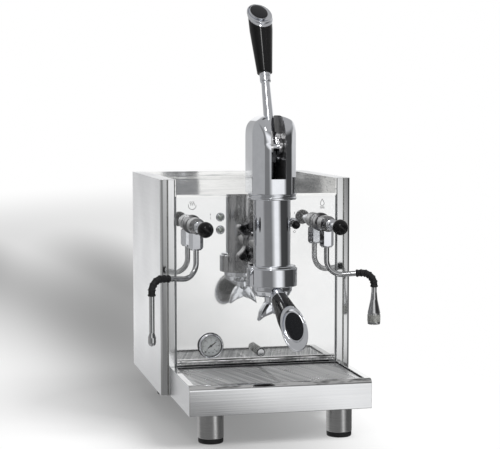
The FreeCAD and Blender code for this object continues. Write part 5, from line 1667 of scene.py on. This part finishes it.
@dataclass
class Tap(Assembly):
    """A tap on the panel with its tilting knob, its wand and the wand's end."""

    fluid: Fluid
    side: int
    turn: float
    reach: float
    foot_z: float
    sleeve_run: float = 12
    sleeve_drop: float = 5
    spread: float = 112
    height: float = 340
    branch: float = 38
    branch_outline: Outline = ((0, 322), (9, 322), (9, 336), (0, 336))
    collet_z: Span = (300, 328)
    collet_radius: float = 12
    collet_turn: float = -6
    collet_foot: float = 8.6
    collet_limit: float = 12.4
    collet_chamfer: float = 4.4
    bore: Outline = ((0, 290), (4.8, 290), (4.8, 317), (0, 317))
    wand: float = 4.5
    wand_drop: float = 21
    wand_inside: float = 16
    sleeve: float = 6.6
    rib: float = 2.2
    ribs: int = 7
    bend: float = 25
    elbow: float = 20
    rise: float = math.radians(5)
    ball: float = 13
    ball_at: float = 118
    ball_flat: float = 12
    ball_steps: int = 32
    # Outlines along the tap's axis, as (radius, distance from the panel, rounding).
    valve: Outline = (
        (0, 0), (16, 0), (16, 4, 1), (11, 5, 0.6), (9.8, 8, 0.6), (9.8, 12, 0.6), (11.6, 13, 0.6),
        (11.6, 20, 0.6), (10, 21, 0.4), (10, 24, 0.4), (13.5, 25.5, 0.8), (13.5, 49, 1), (10.6, 51, 0.6),
        (9.4, 52, 0.3), (9.4, 53.6, 0.3), (10.6, 54.6, 0.4), (10.6, 58.6, 0.4), (10, 60, 0.4),
        (8, 60, 0.3), (7, 49), (0, 47))
    stem: Outline = (
        (0, 47.4), (4, 49.4), (4, 64), (9.5, 65.6, 0.6), (9.5, 70, 0.8), (6.5, 71.6, 0.6),
        (8.5, 73.6, 0.6), (8.5, 78, 0.8), (6.5, 79.6, 0.6), (6.5, 107), (0, 107))
    # Outlines of the wands' ends, as (radius, height over the wand's foot, rounding).
    steam_tip: Outline = (
        (0, -22), (2, -22), (5.2, -20.4, 1.5), (6.5, -16.5, 2), (6.5, -8, 2), (4.6, -1.5, 1.5), (4.3, 0),
        (0, 0))
    water_nozzle: Outline = (
        (0, -42), (8, -42), (8, -54, 0.4), (10.4, -54, 1.4), (10.8, -50, 1), (10.8, -36.4, 0.4),
        (10.2, -36, 0.2), (10.2, -35.2, 0.2), (10.8, -34.8, 0.5), (10.4, -33, 1), (6, -12, 14), (4.8, 0),
        (0, 0))
    screen: Outline = ((10.5, -49.5), (11, -49.2, 0.3), (11, -37.4, 0.3), (10.5, -37.1))

    def face(self) -> Matrix:
        """The frame on the panel, looking to the front."""
        return aim((self.side * self.spread, PANEL_Y, self.height), TOWARDS_FRONT)

    def under(self) -> Matrix:
        """The upright frame through the collet."""
        return Matrix.Translation((self.side * self.spread, PANEL_Y - self.branch, 0))

    def stand(self) -> Matrix:
        """The frame of the wand: upright through the collet, X along the wand's run."""
        return self.under() @ Matrix.Rotation(math.radians(self.turn), 4, "Z")

    def valve_mesh(self) -> Mesh:
        """The valve's body: flange, barrel, bulge, mouth and the branch to the collet."""
        barrel = Shape().lathe(self.valve, self.face(), 72)
        return barrel.lathe(self.branch_outline, self.under(), 48).to_mesh()

    def collet(self) -> Mesh:
        """The hexagonal collet under the branch, its corners turned off below.

        Returns:
            Its mesh.
        """
        low, high = self.collet_z
        bar = raised(hexagon(self.collet_radius, self.collet_turn), self.under(), low, high)
        limit = turned([
            (0, low), (self.collet_foot, low), (self.collet_limit, low + self.collet_chamfer),
            (self.collet_limit, high), (0, high)], self.under(), 64)
        bore = turned(self.bore, self.under(), 48)
        return soften(carve(carve(bar, Cut.COMMON, limit), Cut.REST, bore), 0.4, 3, 25)

    def knob(self) -> Mesh:
        """The black ball, flat where it meets its stem.

        Returns:
            Its mesh.
        """
        start = math.acos(-self.ball_flat / self.ball)
        turns = [start * (1 - i / self.ball_steps) for i in range(self.ball_steps + 1)]
        ball = [(self.ball * math.sin(a), self.ball_at + self.ball * math.cos(a)) for a in turns]
        return turned([(0, self.ball_at - self.ball_flat), *ball], self.face(), 72)

    def corner(self) -> Vector:
        """The corner of the wand's line at its elbow.

        Returns:
            Its place in the wand's own frame.
        """
        low = self.collet_z[0] - self.wand_drop - self.bend * math.cos(self.rise)
        run = self.reach - self.bend * (1 + math.sin(self.rise))
        return Vector((self.reach, 0, low + math.tan(self.rise) * run))

    def route(self) -> list[Vector]:
        """The wand's middle line: down, out along the run, and down again.

        Returns:
            Its points.
        """
        high = self.corner().z
        base = high - self.reach * math.tan(self.rise)
        top = self.collet_z[0] + self.wand_inside
        line = fillet([(0, 0, top, 0), (0, 0, base, self.bend),
                       (self.reach, 0, high, self.elbow), (self.reach, 0, self.foot_z, 0)],
                      False, 16)
        return [self.stand() @ p for p in line]

    def sleeve_route(self) -> list[Vector]:
        """The stretch of the wand's line that the sleeve covers.

        Returns:
            Its points.
        """
        corner = self.corner()
        lead = self.elbow * math.tan((math.pi / 2 + self.rise) / 2)
        back = Vector((-math.cos(self.rise), 0, -math.sin(self.rise))) * (lead + self.sleeve_run)
        down = Vector((0, 0, -lead - self.sleeve_drop))
        line = fillet([(*(corner + back), 0), (*corner, self.elbow), (*(corner + down), 0)],
                      False, 20)
        return [self.stand() @ p for p in line]

    def at_foot(self, outline: Outline, closed: bool = False) -> Mesh:
        """A turned piece at the wand's foot."""
        seat = self.stand() @ Matrix.Translation((self.reach, 0, 0))
        return turned([(r, self.foot_z + z, *rest) for r, z, *rest in outline], seat, 64, closed)

    def build(self) -> None:
        """Builds and dresses the tap and its wand."""
        name = self.fluid.value
        arm = f"{name}_wand_arm"
        stick = f"{name}_joystick"
        add = self.add
        add(f"{name}_valve_turned", self.valve_mesh(), DULL_CHROME, "case", "valve_bodies")
        add(f"{name}_collet_hexagon", self.collet(), CHROME, "case", "wand_collets", smooth=None)
        add(f"{name}_stem_turned", turned(self.stem, self.face(), 64), CHROME, stick, f"{name}_stem")
        add(f"{name}_knob_ball", self.knob(), PHENOLIC, stick, f"{name}_knob")
        tube = Shape().sweep(self.route(), self.wand, 32).to_mesh()
        add(f"{name}_wand_bent", tube, TUBE, arm, f"{name}_wand")
        cover = self.sleeve_route()
        sleeve = Shape().sweep(cover, self.sleeve - 1, 40).to_mesh()
        add(f"{name}_sleeve_moulded", sleeve, RUBBER, arm, f"{name}_sleeve")
        ribs = self.bench.ribs.make(points_mesh(cover, True), RUBBER, Count=self.ribs,
                                    Radius=(self.sleeve - self.rib) / METRE, Thickness=self.rib / METRE)
        add(f"{name}_sleeve_ribs", ribs, RUBBER, arm, smooth=60)
        if self.fluid is Fluid.STEAM:
            add("steam_wand_end", self.at_foot(self.steam_tip), TUBE, arm, "steam_tip")
        else:
            add("water_wand_end", self.at_foot(self.water_nozzle), TUBE, arm, "water_nozzle")
            add("water_nozzle_screen", self.at_foot(self.screen, True), HUB_STEEL, arm)


@dataclass
class Controls(Assembly):
    """The lamps, switch, gauge, drain knob and marks on the front panel."""

    lamp_x: float = -63
    lamp_z: Span = (351, 329.5)
    lens: float = 5
    lens_low: float = 1.4
    lens_dome: float = 2.9
    lens_steps: int = 10
    switch_x: float = 63
    switch_z: float = 340
    switch_pivot: float = 2
    switch_droop: float = math.radians(8)
    gauge_x: float = -80.5
    gauge_z: float = 133.6
    tick_end: float = 15.2
    tick_z: Span = (4.5, 4.68)
    first_tick: float = -45
    scale_turn: float = 270
    numbers: int = 7
    number_size: float = 3.8
    number_radius: float = 9
    number_z: float = 4.62
    print_depth: float = 0.04
    needle_turn: float = math.radians(35)
    needle_z: Span = (5, 5.5)
    drain_z: float = 124
    flutes: int = 16
    flute_depth: float = 0.7
    flute_z: Span = (5, 27)
    drain_rim: float = 6.4
    drain_face: Span = (5.9, 30.9)
    stroke_z: Span = (0.02, 0.09)
    zero_turn: float = 225
    dark_flute: float = 6.9
    dark_from: float = 4
    screw_places: Outline = ((-132, -3, 106.5), (132, -3, 106.5))
    stud_places: Outline = ((-9, -10.6, 0), (-3.4, -11.4, 0), (3.4, -11.2, 0))
    needle_blade: Outline = ((0, -1.1), (11, -0.45), (11, 0.45), (0, 1.1), (-6.5, 0.9), (-6.5, -0.9))
    # Outlines of turned pieces, as (radius, distance from the panel or the bat's pivot, rounding).
    bezel: Outline = ((4.6, -3), (4.8, 0), (6.75, 0), (6.75, 1.4, 0.9), (5.4, 2.6, 0.5), (4.9, 1.6, 0.2))
    washer: Outline = ((5, 0), (7.3, 0, 0.2), (7.3, 0.6, 0.2), (5, 0.6))
    bush: Outline = (
        (0, -20), (5.6, -20), (5.6, 0), (8, 0), (8, 2.4, 0.7), (5.8, 3.8, 0.4), (5.8, 7, 0.6),
        (4.2, 7, 0.3), (3.4, 0.5), (0, 0.5))
    bat: Outline = (
        (0, -2.3), (2.2, -2.3, 0.4), (2.2, 6.5, 0.6), (5.8, 9, 1.2), (7.4, 20, 3), (5.6, 25.4, 2.6),
        (0, 26))
    gauge_case: Outline = (
        (0, -20), (18.5, -20, 1), (18.5, 0), (21, 0, 0.6), (21, 8.4, 1.4), (19.6, 10, 0.8),
        (18.2, 9.6, 0.5), (17.7, 4), (0, 4))
    gauge_seal: Outline = ((17, 0), (21.9, 0, 0.2), (21.9, 0.9, 0.3), (17, 0.9))
    gauge_ring: Outline = ((17.3, 4.4), (18, 4.4), (18.3, 9.3), (17.9, 9.4))
    gauge_dial: Outline = ((0, 4), (17.4, 4), (17.4, 4.6, 0.2), (0, 4.6))
    gauge_glass: Outline = ((0, 8), (17.7, 8), (17.7, 8.8, 0.2), (0, 8.9))
    stud: Outline = ((0, 4.5), (0.9, 4.5), (0.9, 4.7), (0, 4.7))
    needle_hub: Outline = ((0, 4.9), (2.2, 4.9), (2.2, 6, 0.4), (0, 6.1))
    drain_knob: Outline = (
        (0, -10), (3.5, -10), (3.5, 2, 0.3), (6.4, 2, 0.6), (7.25, 3, 0.4), (7.25, 5.5), (7.25, 26.5),
        (7.25, 31.2, 0.8), (5.8, 32, 0.4), (5.6, 31.6, 0.2), (0, 31.6))
    screw: Outline = (
        (0, -0.5), (2.4, -0.5), (2.4, 0.5, 0.4), (1.3, 1.3, 0.3), (1.1, 1.2), (0.9, 0.4), (0, 0.3))

    def spot(self, x: float, z: float) -> Matrix:
        """A frame on the panel, looking to the front, with X to the right and Y up."""
        facing = Matrix(((1, 0, 0), (0, 0, -1), (0, 1, 0))).to_4x4()
        return Matrix.Translation((x, PANEL_Y, z)) @ facing

    def lamps(self) -> None:
        """Builds two lamps: a bright bezel, a dark washer as painted shade round it, and a domed lens."""
        origin = self.spot(0, 0)
        places = [(self.lamp_x, 0, z) for z in self.lamp_z]
        turns = [math.pi / 2 * i / self.lens_steps for i in range(self.lens_steps + 1)]
        dome = [(self.lens * math.cos(a), self.lens_low + self.lens_dome * math.sin(a)) for a in turns]
        bezel = turned(self.bezel, origin, 64)
        self.copies("lamp_bezels_turned", bezel, places, CHROME, "indicator_lamps")
        self.copies("lamp_washers_cut", turned(self.washer, origin, 64, True), places, RUBBER)
        lens = turned([(self.lens, 0.5), *dome], origin, 64)
        self.copies("lamp_lenses_moulded", lens, places, LENS)

    def switch(self) -> None:
        """Builds the toggle switch: a round bush and a black bat."""
        bush = turned(self.bush, self.spot(self.switch_x, self.switch_z), 64)
        self.add("switch_bush_turned", bush, CHROME, "case", "switch_body")
        lean = aim((self.switch_x, PANEL_Y - self.switch_pivot, self.switch_z),
                   (0, -math.cos(self.switch_droop), -math.sin(self.switch_droop)))
        bat = turned(self.bat, lean, 56)
        self.add("switch_bat_moulded", bat, PHENOLIC, "toggle", "switch_toggle")

    def gauge(self) -> None:
        """Builds the pressure gauge: bezel, seal, dial, needle and glass."""
        add = self.add
        seat = self.spot(self.gauge_x, self.gauge_z)
        add("gauge_case_pressed", turned(self.gauge_case, seat), CHROME, "case", "gauge_case")
        # The dark seal round the bezel and the dark inner ring inside it are painted shade.
        add("gauge_seal_moulded", turned(self.gauge_seal, seat, 96, True), RUBBER, "case")
        add("gauge_inner_ring", turned(self.gauge_ring, seat, 96, True), DARK_STEEL, "case")
        add("gauge_dial_enamelled", turned(self.gauge_dial, seat), DIAL, "case", "gauge_dial")
        self.scale(self.metres(seat))
        blade = [Vector((x, y, 0)) for x, y in self.needle_blade]
        needle = Shape().prism(blade, seat @ Matrix.Rotation(self.needle_turn, 4, "Z"), *self.needle_z)
        needle.lathe(self.needle_hub, seat, 40)
        add("gauge_needle_pressed", needle.to_mesh(), INK, "needle", "gauge_needle")
        add("gauge_glass_flat", turned(self.gauge_glass, seat), GLASS, "case", "gauge_glass")

    def scale(self, seat: Matrix) -> None:
        """Prints the dial's ticks, numbers and studs.

        Args:
            seat: The gauge's frame, in metres.
        """
        for name, low, wide, count in (("major", 11.4, 0.9, self.numbers), ("minor", 13.2, 0.45, 31)):
            tick = box_mesh((low, -wide / 2, self.tick_z[0]), (self.tick_end, wide / 2, self.tick_z[1]))
            marks = self.bench.ring.make(points_mesh([(0, 0, 0)]), INK, Copy=tick, Count=count,
                                         First=math.radians(self.first_tick),
                                         Step=math.radians(self.scale_turn / (count - 1)))
            marks.transform(seat)
            self.add(f"gauge_ticks_{name}", marks, INK, "case", smooth=None)
        for i in range(self.numbers):
            turn = math.radians(self.zero_turn - self.scale_turn / (self.numbers - 1) * i)
            place = Vector((self.number_radius * math.cos(turn), self.number_radius * math.sin(turn),
                            self.number_z))
            number = self.word(str(i), self.number_size)
            number.transform(seat @ Matrix.Translation(place / METRE))
            self.add(f"gauge_number_{i}", number, INK, "case", smooth=None)
        stud = turned(self.stud, UPRIGHT, 24)
        studs = self.bench.at_points.make(points_mesh(self.stud_places), INK, Copy=stud)
        studs.transform(seat)
        self.add("gauge_dial_studs", studs, INK, "case")

    def flute(self, radius: float, height: float, turn: float) -> float:
        """Waves the drain knob's side between its plain ends.

        Args:
            radius: The outline's radius.
            height: The distance from the panel.
            turn: The angle round the knob.

        Returns:
            The waved radius.
        """
        if radius < self.drain_rim or not self.flute_z[0] < height < self.flute_z[1]:
            return radius
        return radius - self.flute_depth * (0.5 - 0.5 * math.cos(turn * self.flutes))

    def drain(self) -> None:
        """Builds the drain knob: a fluted bar with a flat polished face."""
        seat = self.spot(0, self.drain_z)
        inverse = seat.inverted()
        face_radius, face_low = self.drain_face

        def choose(place: Vector, normal: Vector) -> int:
            """Finds the polished face, and its rim and the flutes' bottoms, which are dark with painted
            shade.

            Args:
                place: A face's middle.
                normal: The face's normal; not used.

            Returns:
                The finish's place in the list.
            """
            here = inverse @ place
            radius = math.hypot(here.x, here.y)
            if here.z > face_low:
                return 1 if radius < face_radius else 2
            return 2 if radius < self.dark_flute and here.z > self.dark_from else 0
        knob = Shape().lathe(self.drain_knob, seat, 192, wave=self.flute).to_mesh()
        paint(knob, (HUB_STEEL, TUBE, DARK_STEEL), choose)
        self.add("drain_knob_fluted", knob, HUB_STEEL, "drain", "drain_knob")

    def metres(self, seat: Matrix) -> Matrix:
        """The same frame for a mesh that is in metres."""
        return Matrix.Translation(seat.translation / METRE) @ seat.to_3x3().to_4x4()

    def word(self, text: str, size: float) -> Mesh:
        """A flat mesh of a printed number.

        Args:
            text: What is printed.
            size: Height of the type, in millimetres.

        Returns:
            The mesh about its own middle, in metres.
        """
        curve = bpy.data.curves.new("print", "FONT")
        curve.body = text
        curve.size = size / METRE
        curve.align_x = "CENTER"
        curve.align_y = "CENTER"
        curve.extrude = self.print_depth / METRE
        return settle(linked("print", curve))

    def mark(self, name: str, x: float, z: float, width: float, lines: Sequence[Outline]) -> None:
        """Prints strokes on the panel.

        Args:
            name: The piece's name.
            x: Place across the panel.
            z: Height on the panel.
            width: Width of a stroke.
            lines: Lines of (across, up) points.
        """
        seat = self.spot(x, z)
        low, high = (Vector((0, 0, level)) for level in self.stroke_z)
        shape = Shape()
        for line in lines:
            dots = [Vector((p[0], p[1], 0)) for p in line]
            rows = []
            for i, dot in enumerate(dots):
                along = (dots[min(i + 1, len(dots) - 1)] - dots[max(i - 1, 0)]).normalized()
                side = Vector((-along.y, along.x, 0)) * width / 2
                rows.append([seat @ (dot + side + low), seat @ (dot - side + low),
                             seat @ (dot - side + high), seat @ (dot + side + high)])
            shape.grid(rows)
        self.add(name, shape.to_mesh(), INK, "case", smooth=None)

    def marks(self) -> None:
        """Prints plain pictograms over the taps and marks at the switch and the lamps."""
        def arc(radius: float, degrees: Iterable[int]) -> list[Span]:
            """Points on a circle at angles in degrees."""
            turns = [math.radians(a) for a in degrees]
            return [(radius * math.cos(a), radius * math.sin(a)) for a in turns]
        steam = [[(x + 1.2 * math.sin(t * 2.2), 0.5 + t * 2.2) for t in (0, 0.5, 1, 1.5, 2, 2.5, 3)]
                 for x in (-3, 0, 3)]
        self.mark("steam_mark", -111, 371, 0.8, [arc(6.5, range(-200, 25, 15)), *steam])
        half = [(2, 3.4), (3.4, 0.6), (3.2, -2), (1.6, -3.8)]
        drop = [(0, 7), *half, (0, -4.2), *[(-x, z) for x, z in reversed(half)], (0, 7)]
        waves = [[(x, -6.4 - row + 0.5 * math.sin(x * 1.6)) for x in (-4, -2.7, -1.3, 0, 1.3, 2.7, 4)]
                 for row in (0, 2)]
        self.mark("water_mark", 115, 372, 0.8, [drop, *waves])
        self.mark("switch_off_mark", 66, 324, 0.6, [arc(1.7, range(0, 361, 20))])
        self.mark("switch_on_mark", 66, 356, 0.7, [[(0, -1.8), (0, 1.8)]])
        ticks = [[(0, 5), (0, 2)], [(-0.9, 4), (0.9, 4)], [(0, -1), (0, -4)]]
        self.mark("lamp_mark", -80, 352, 0.6, ticks)

    def build(self) -> None:
        """Builds and dresses the controls and the lip's two screws."""
        self.lamps()
        self.switch()
        self.gauge()
        self.drain()
        self.marks()
        screw = turned(self.screw, self.spot(0, 0), 40)
        self.copies("lip_screws", screw, self.screw_places, TUBE)


@dataclass(frozen=True)
class ShadePool:
    """A soft dark pool on the floor, in metres and radians, with the light that its middle takes away."""

    across: float
    behind: float
    turn: float
    wide: float
    deep: float
    strength: float


@dataclass(frozen=True)
class AreaLamp:
    """A flat lamp that shines at a height on the machine's middle line."""

    name: str
    shape: LampShape
    wide: float
    tall: float
    watts: float
    place: Place
    target: float
    mirrored: bool

    def build(self) -> None:
        """Hangs the lamp."""
        lamp = bpy.data.lights.new(self.name, "AREA")
        lamp.shape = self.shape.value
        lamp.size = self.wide
        lamp.size_y = self.tall
        lamp.energy = self.watts
        item = linked(self.name, lamp)
        item.visible_glossy = self.mirrored
        item.location = self.place
        ahead = Vector((0.0, 0.0, self.target)) - item.location
        item.rotation_euler = ahead.to_track_quat("-Z", "Y").to_euler()


@dataclass
class Studio:
    """The pale floor, the light and the cards round the set, and the camera, in metres."""

    ambient: float = 0.55
    floor_low: Place = (-6.0, -5.0, 0.0)
    floor_high: Place = (6.0, 12.0, 0.0)
    near_place: Place = (-0.1, 0.1, 0.0)
    near_size: Place = (0.75, 0.75, 1.0)
    near_fade: Span = (0.02, 0.4)
    near_glow: Span = (1.0, 0.45)
    tent_radius: float = 3.4
    card_tilt: float = 23.0
    low_tilt: float = 60.0
    low_level: float = -0.54
    low_fade: Span = (0.12, 0.04)
    overhead: str = "aaaaaa"
    overhead_fade: Span = (1.2, 2.2)
    image_width: int = 500
    focal_pixels: float = 1414.0
    sensor_mm: float = 36.0
    camera_place: Place = (-0.551, (FRONT_Y - 2320.0) / METRE, 0.531)
    camera_pitch: float = 85.36
    camera_turn: float = -13.08
    camera_reach: float = 100.0

    # Long soft shades that run back: one at the machine's left, a broad one farther left, one behind it.
    SHADE = (ShadePool(-0.237, 1.283, 0.098, 0.292, 5.054, 0.336),
             ShadePool(-0.947, 2.257, -0.453, 1.807, 6.888, 0.307),
             ShadePool(0.033, 1.524, -0.036, 0.366, 2.783, 0.565))
    # Directions in degrees from the front, to the right, and the light of the cards there.
    CARDS = ((-180, 1), (-165, 1), (-159, 0.52), (-139, 0.4), (-68, 0.4), (-54, 0.2),
             (-16, 0.2), (-4, 0.53), (7, 0.97), (25, 0.97), (35, 0.5), (45, 0.06),
             (90, 0.05), (100, 0.11), (130, 0.32), (150, 0.8), (180, 1))
    LOW_CARDS = ((-180, 0.52), (-140, 0.46), (-118, 0.2), (3, 0.2), (6, 0.36), (9, 0.72),
                 (13, 0.95), (21, 0.9), (28, 0.3), (45, 0.12), (120, 0.15), (180, 0.42))
    # A large soft lamp, and a small bright box that puts the highlights on black and chrome.
    LAMPS = (AreaLamp("key", LampShape.ROUND, 1.4, 1.4, 62, (1.3, -1, 2.2), 0.2, False),
             AreaLamp("softbox", LampShape.SQUARE, 0.3, 0.6, 5, (-0.62, -1.7, 1.9), 0.4, True))

    def background_rays(self, tree: Tree) -> Socket:
        """Finds rays that see the background: camera, glossy and transmission rays.

        Args:
            tree: The node tree that asks.

        Returns:
            One for such rays, else zero.
        """
        path = add_node(tree, "ShaderNodeLightPath").outputs
        seen = calculate(tree, "ADD", path["Is Camera Ray"], path["Is Glossy Ray"])
        return calculate(tree, "ADD", seen, path["Is Transmission Ray"], use_clamp=True)

    def world(self) -> None:
        """White where it is seen, and a plain level of light elsewhere."""
        world = bpy.data.worlds.new("studio")
        bpy.context.scene.world = world
        tree = fresh_tree(world)
        level = ranged(tree, self.background_rays(tree), (0.0, 1.0), (self.ambient, 1.0))
        shade = add_node(tree, "ShaderNodeBackground", {"Color": colour("ffffff"), 1: level})
        add_node(tree, "ShaderNodeOutputWorld", {0: shade.outputs[0]})

    def pool(self, tree: Tree, kind: str, place: Place, size: Place, turn: float = 0.0) -> Socket:
        """A round fall of light from a place on the floor outwards.

        Args:
            tree: The floor's node tree.
            kind: The gradient's type.
            place: Its middle.
            size: Its reach along each axis.
            turn: Radians that it is turned by.

        Returns:
            One in its middle, falling to zero at its edge.
        """
        spot = add_node(tree, "ShaderNodeMapping", {
            "Vector": add_node(tree, "ShaderNodeTexCoord").outputs["Object"], "Location": place,
            "Rotation": (0.0, 0.0, turn), "Scale": size}, vector_type="TEXTURE")
        return add_node(tree, "ShaderNodeTexGradient", {0: spot.outputs[0]}, gradient_type=kind).outputs[1]

    def floor(self) -> None:
        """A pale floor with painted shade pools; it keeps shadows near the machine and runs out to white."""
        mesh = bpy.data.meshes.new("floor")
        mesh.from_pydata(rectangle(self.floor_low, self.floor_high), [], [(0, 1, 2, 3)])
        item = shown(mesh)
        material = bpy.data.materials.new("floor_paper_pale")
        tree = fresh_tree(material)
        light: Any = 1.0
        for shade in self.SHADE:
            pool = self.pool(tree, "SPHERICAL", (shade.across, shade.behind, 0.0),
                             (shade.wide, shade.deep, 1.0), shade.turn)
            soft = ranged(tree, pool, (0.0, 1.0), (0.0, shade.strength), interpolation_type="SMOOTHSTEP")
            light = calculate(tree, "SUBTRACT", light, soft)
        dull = add_node(tree, "ShaderNodeBsdfDiffuse", {0: light})
        bright = add_node(tree, "ShaderNodeEmission", {0: light})
        close = self.pool(tree, "QUADRATIC_SPHERE", self.near_place, self.near_size)
        apart = ranged(tree, close, self.near_fade, self.near_glow)
        glow = calculate(tree, "MULTIPLY", apart, self.background_rays(tree))
        both = add_node(tree, "ShaderNodeMixShader", {0: glow, 1: dull.outputs[0], 2: bright.outputs[0]})
        add_node(tree, "ShaderNodeOutputMaterial", {0: both.outputs[0]})
        mesh.materials.append(material)
        item.visible_glossy = False

    def card_ring(self, tree: Tree, axes: Any, tilt: float, level: float, cards: Sequence[Span]) -> Socket:
        """Cards side by side round the set, leaning over.

        Args:
            tree: The tent's node tree.
            axes: The place on the tent, as three sockets.
            tilt: Degrees that the cards lean in a metre of height.
            level: The height at which they stand at their own directions.
            cards: Directions in degrees and the light of each.

        Returns:
            The light.
        """
        lean = math.radians(tilt)
        turn = calculate(tree, "ARCTAN2", axes[0], calculate(tree, "MULTIPLY", axes[1], -1.0))
        raised_by = calculate(tree, "MULTIPLY_ADD", axes[2], lean, -lean * level)
        share = ranged(tree, calculate(tree, "ADD", raised_by, turn), (-math.pi, math.pi))
        ramp = add_node(tree, "ShaderNodeValToRGB", {0: share})
        stops = ramp.color_ramp.elements
        while len(stops) < len(cards):
            stops.new(0.5)
        for stop, (direction, _) in zip(stops, cards):
            stop.position = (direction + 180.0) / 360.0
        for stop, (_, light) in zip(stops, cards):
            stop.color = (light, light, light, 1.0)
        return ramp.outputs[0]

    def tent(self) -> None:
        """Grey and black cards round the set, which only polished metal sees."""
        work = bmesh.new()
        bmesh.ops.create_uvsphere(work, u_segments=64, v_segments=32, radius=self.tent_radius)
        mesh = bpy.data.meshes.new("cards")
        work.to_mesh(mesh)
        work.free()
        item = shown(mesh)
        for ray in ("camera", "diffuse", "shadow", "transmission", "volume_scatter"):
            setattr(item, f"visible_{ray}", False)
        material = bpy.data.materials.new("cards_round_set")
        tree = fresh_tree(material)
        place = add_node(tree, "ShaderNodeTexCoord").outputs["Object"]
        axes = add_node(tree, "ShaderNodeSeparateXYZ", {0: place}).outputs
        main_ring = self.card_ring(tree, axes, self.card_tilt, 0.0, self.CARDS)
        low_ring = self.card_ring(tree, axes, self.low_tilt, self.low_level, self.LOW_CARDS)
        below = tuple(self.low_level + height for height in self.low_fade)
        round_set = mixed(tree, ranged(tree, axes[2], below), main_ring, low_ring)
        high = ranged(tree, axes[2], self.overhead_fade)
        shade = mixed(tree, high, round_set, colour(self.overhead))
        glow = add_node(tree, "ShaderNodeEmission", {0: shade})
        add_node(tree, "ShaderNodeOutputMaterial", {0: glow.outputs[0]})
        mesh.materials.append(material)

    def camera(self) -> None:
        """The camera at the photograph's place and angle."""
        data = bpy.data.cameras.new("camera")
        data.sensor_width = self.sensor_mm
        data.lens = self.focal_pixels * self.sensor_mm / self.image_width
        data.clip_end = self.camera_reach
        item = linked("camera", data)
        item.location = self.camera_place
        item.rotation_euler = (math.radians(self.camera_pitch), 0.0, math.radians(self.camera_turn))
        bpy.context.scene.camera = item

    def build(self) -> None:
        """Sets the whole stage."""
        bpy.context.scene.view_settings.view_transform = "Standard"
        self.world()
        self.floor()
        self.tent()
        for lamp in self.LAMPS:
            lamp.build()
        self.camera()


def main() -> None:
    """Builds the machine and its stage."""
    logging.basicConfig(level=logging.INFO, format="%(message)s")
    Studio().build()
    bench = Bench()
    taps = (Tap(bench, Fluid.STEAM, -1, 208.0, 92.0, 172.0),
            Tap(bench, Fluid.WATER, 1, -17.0, 80.3, 224.0, 7.0, 2.0))
    for part in (Case(bench), DripTray(bench), Group(bench), Lever(bench), Portafilter(bench), *taps,
                 Controls(bench)):
        part.build()
    LOG.info("%d pieces", len(bench.pieces))


if __name__ == "__main__":
    main()
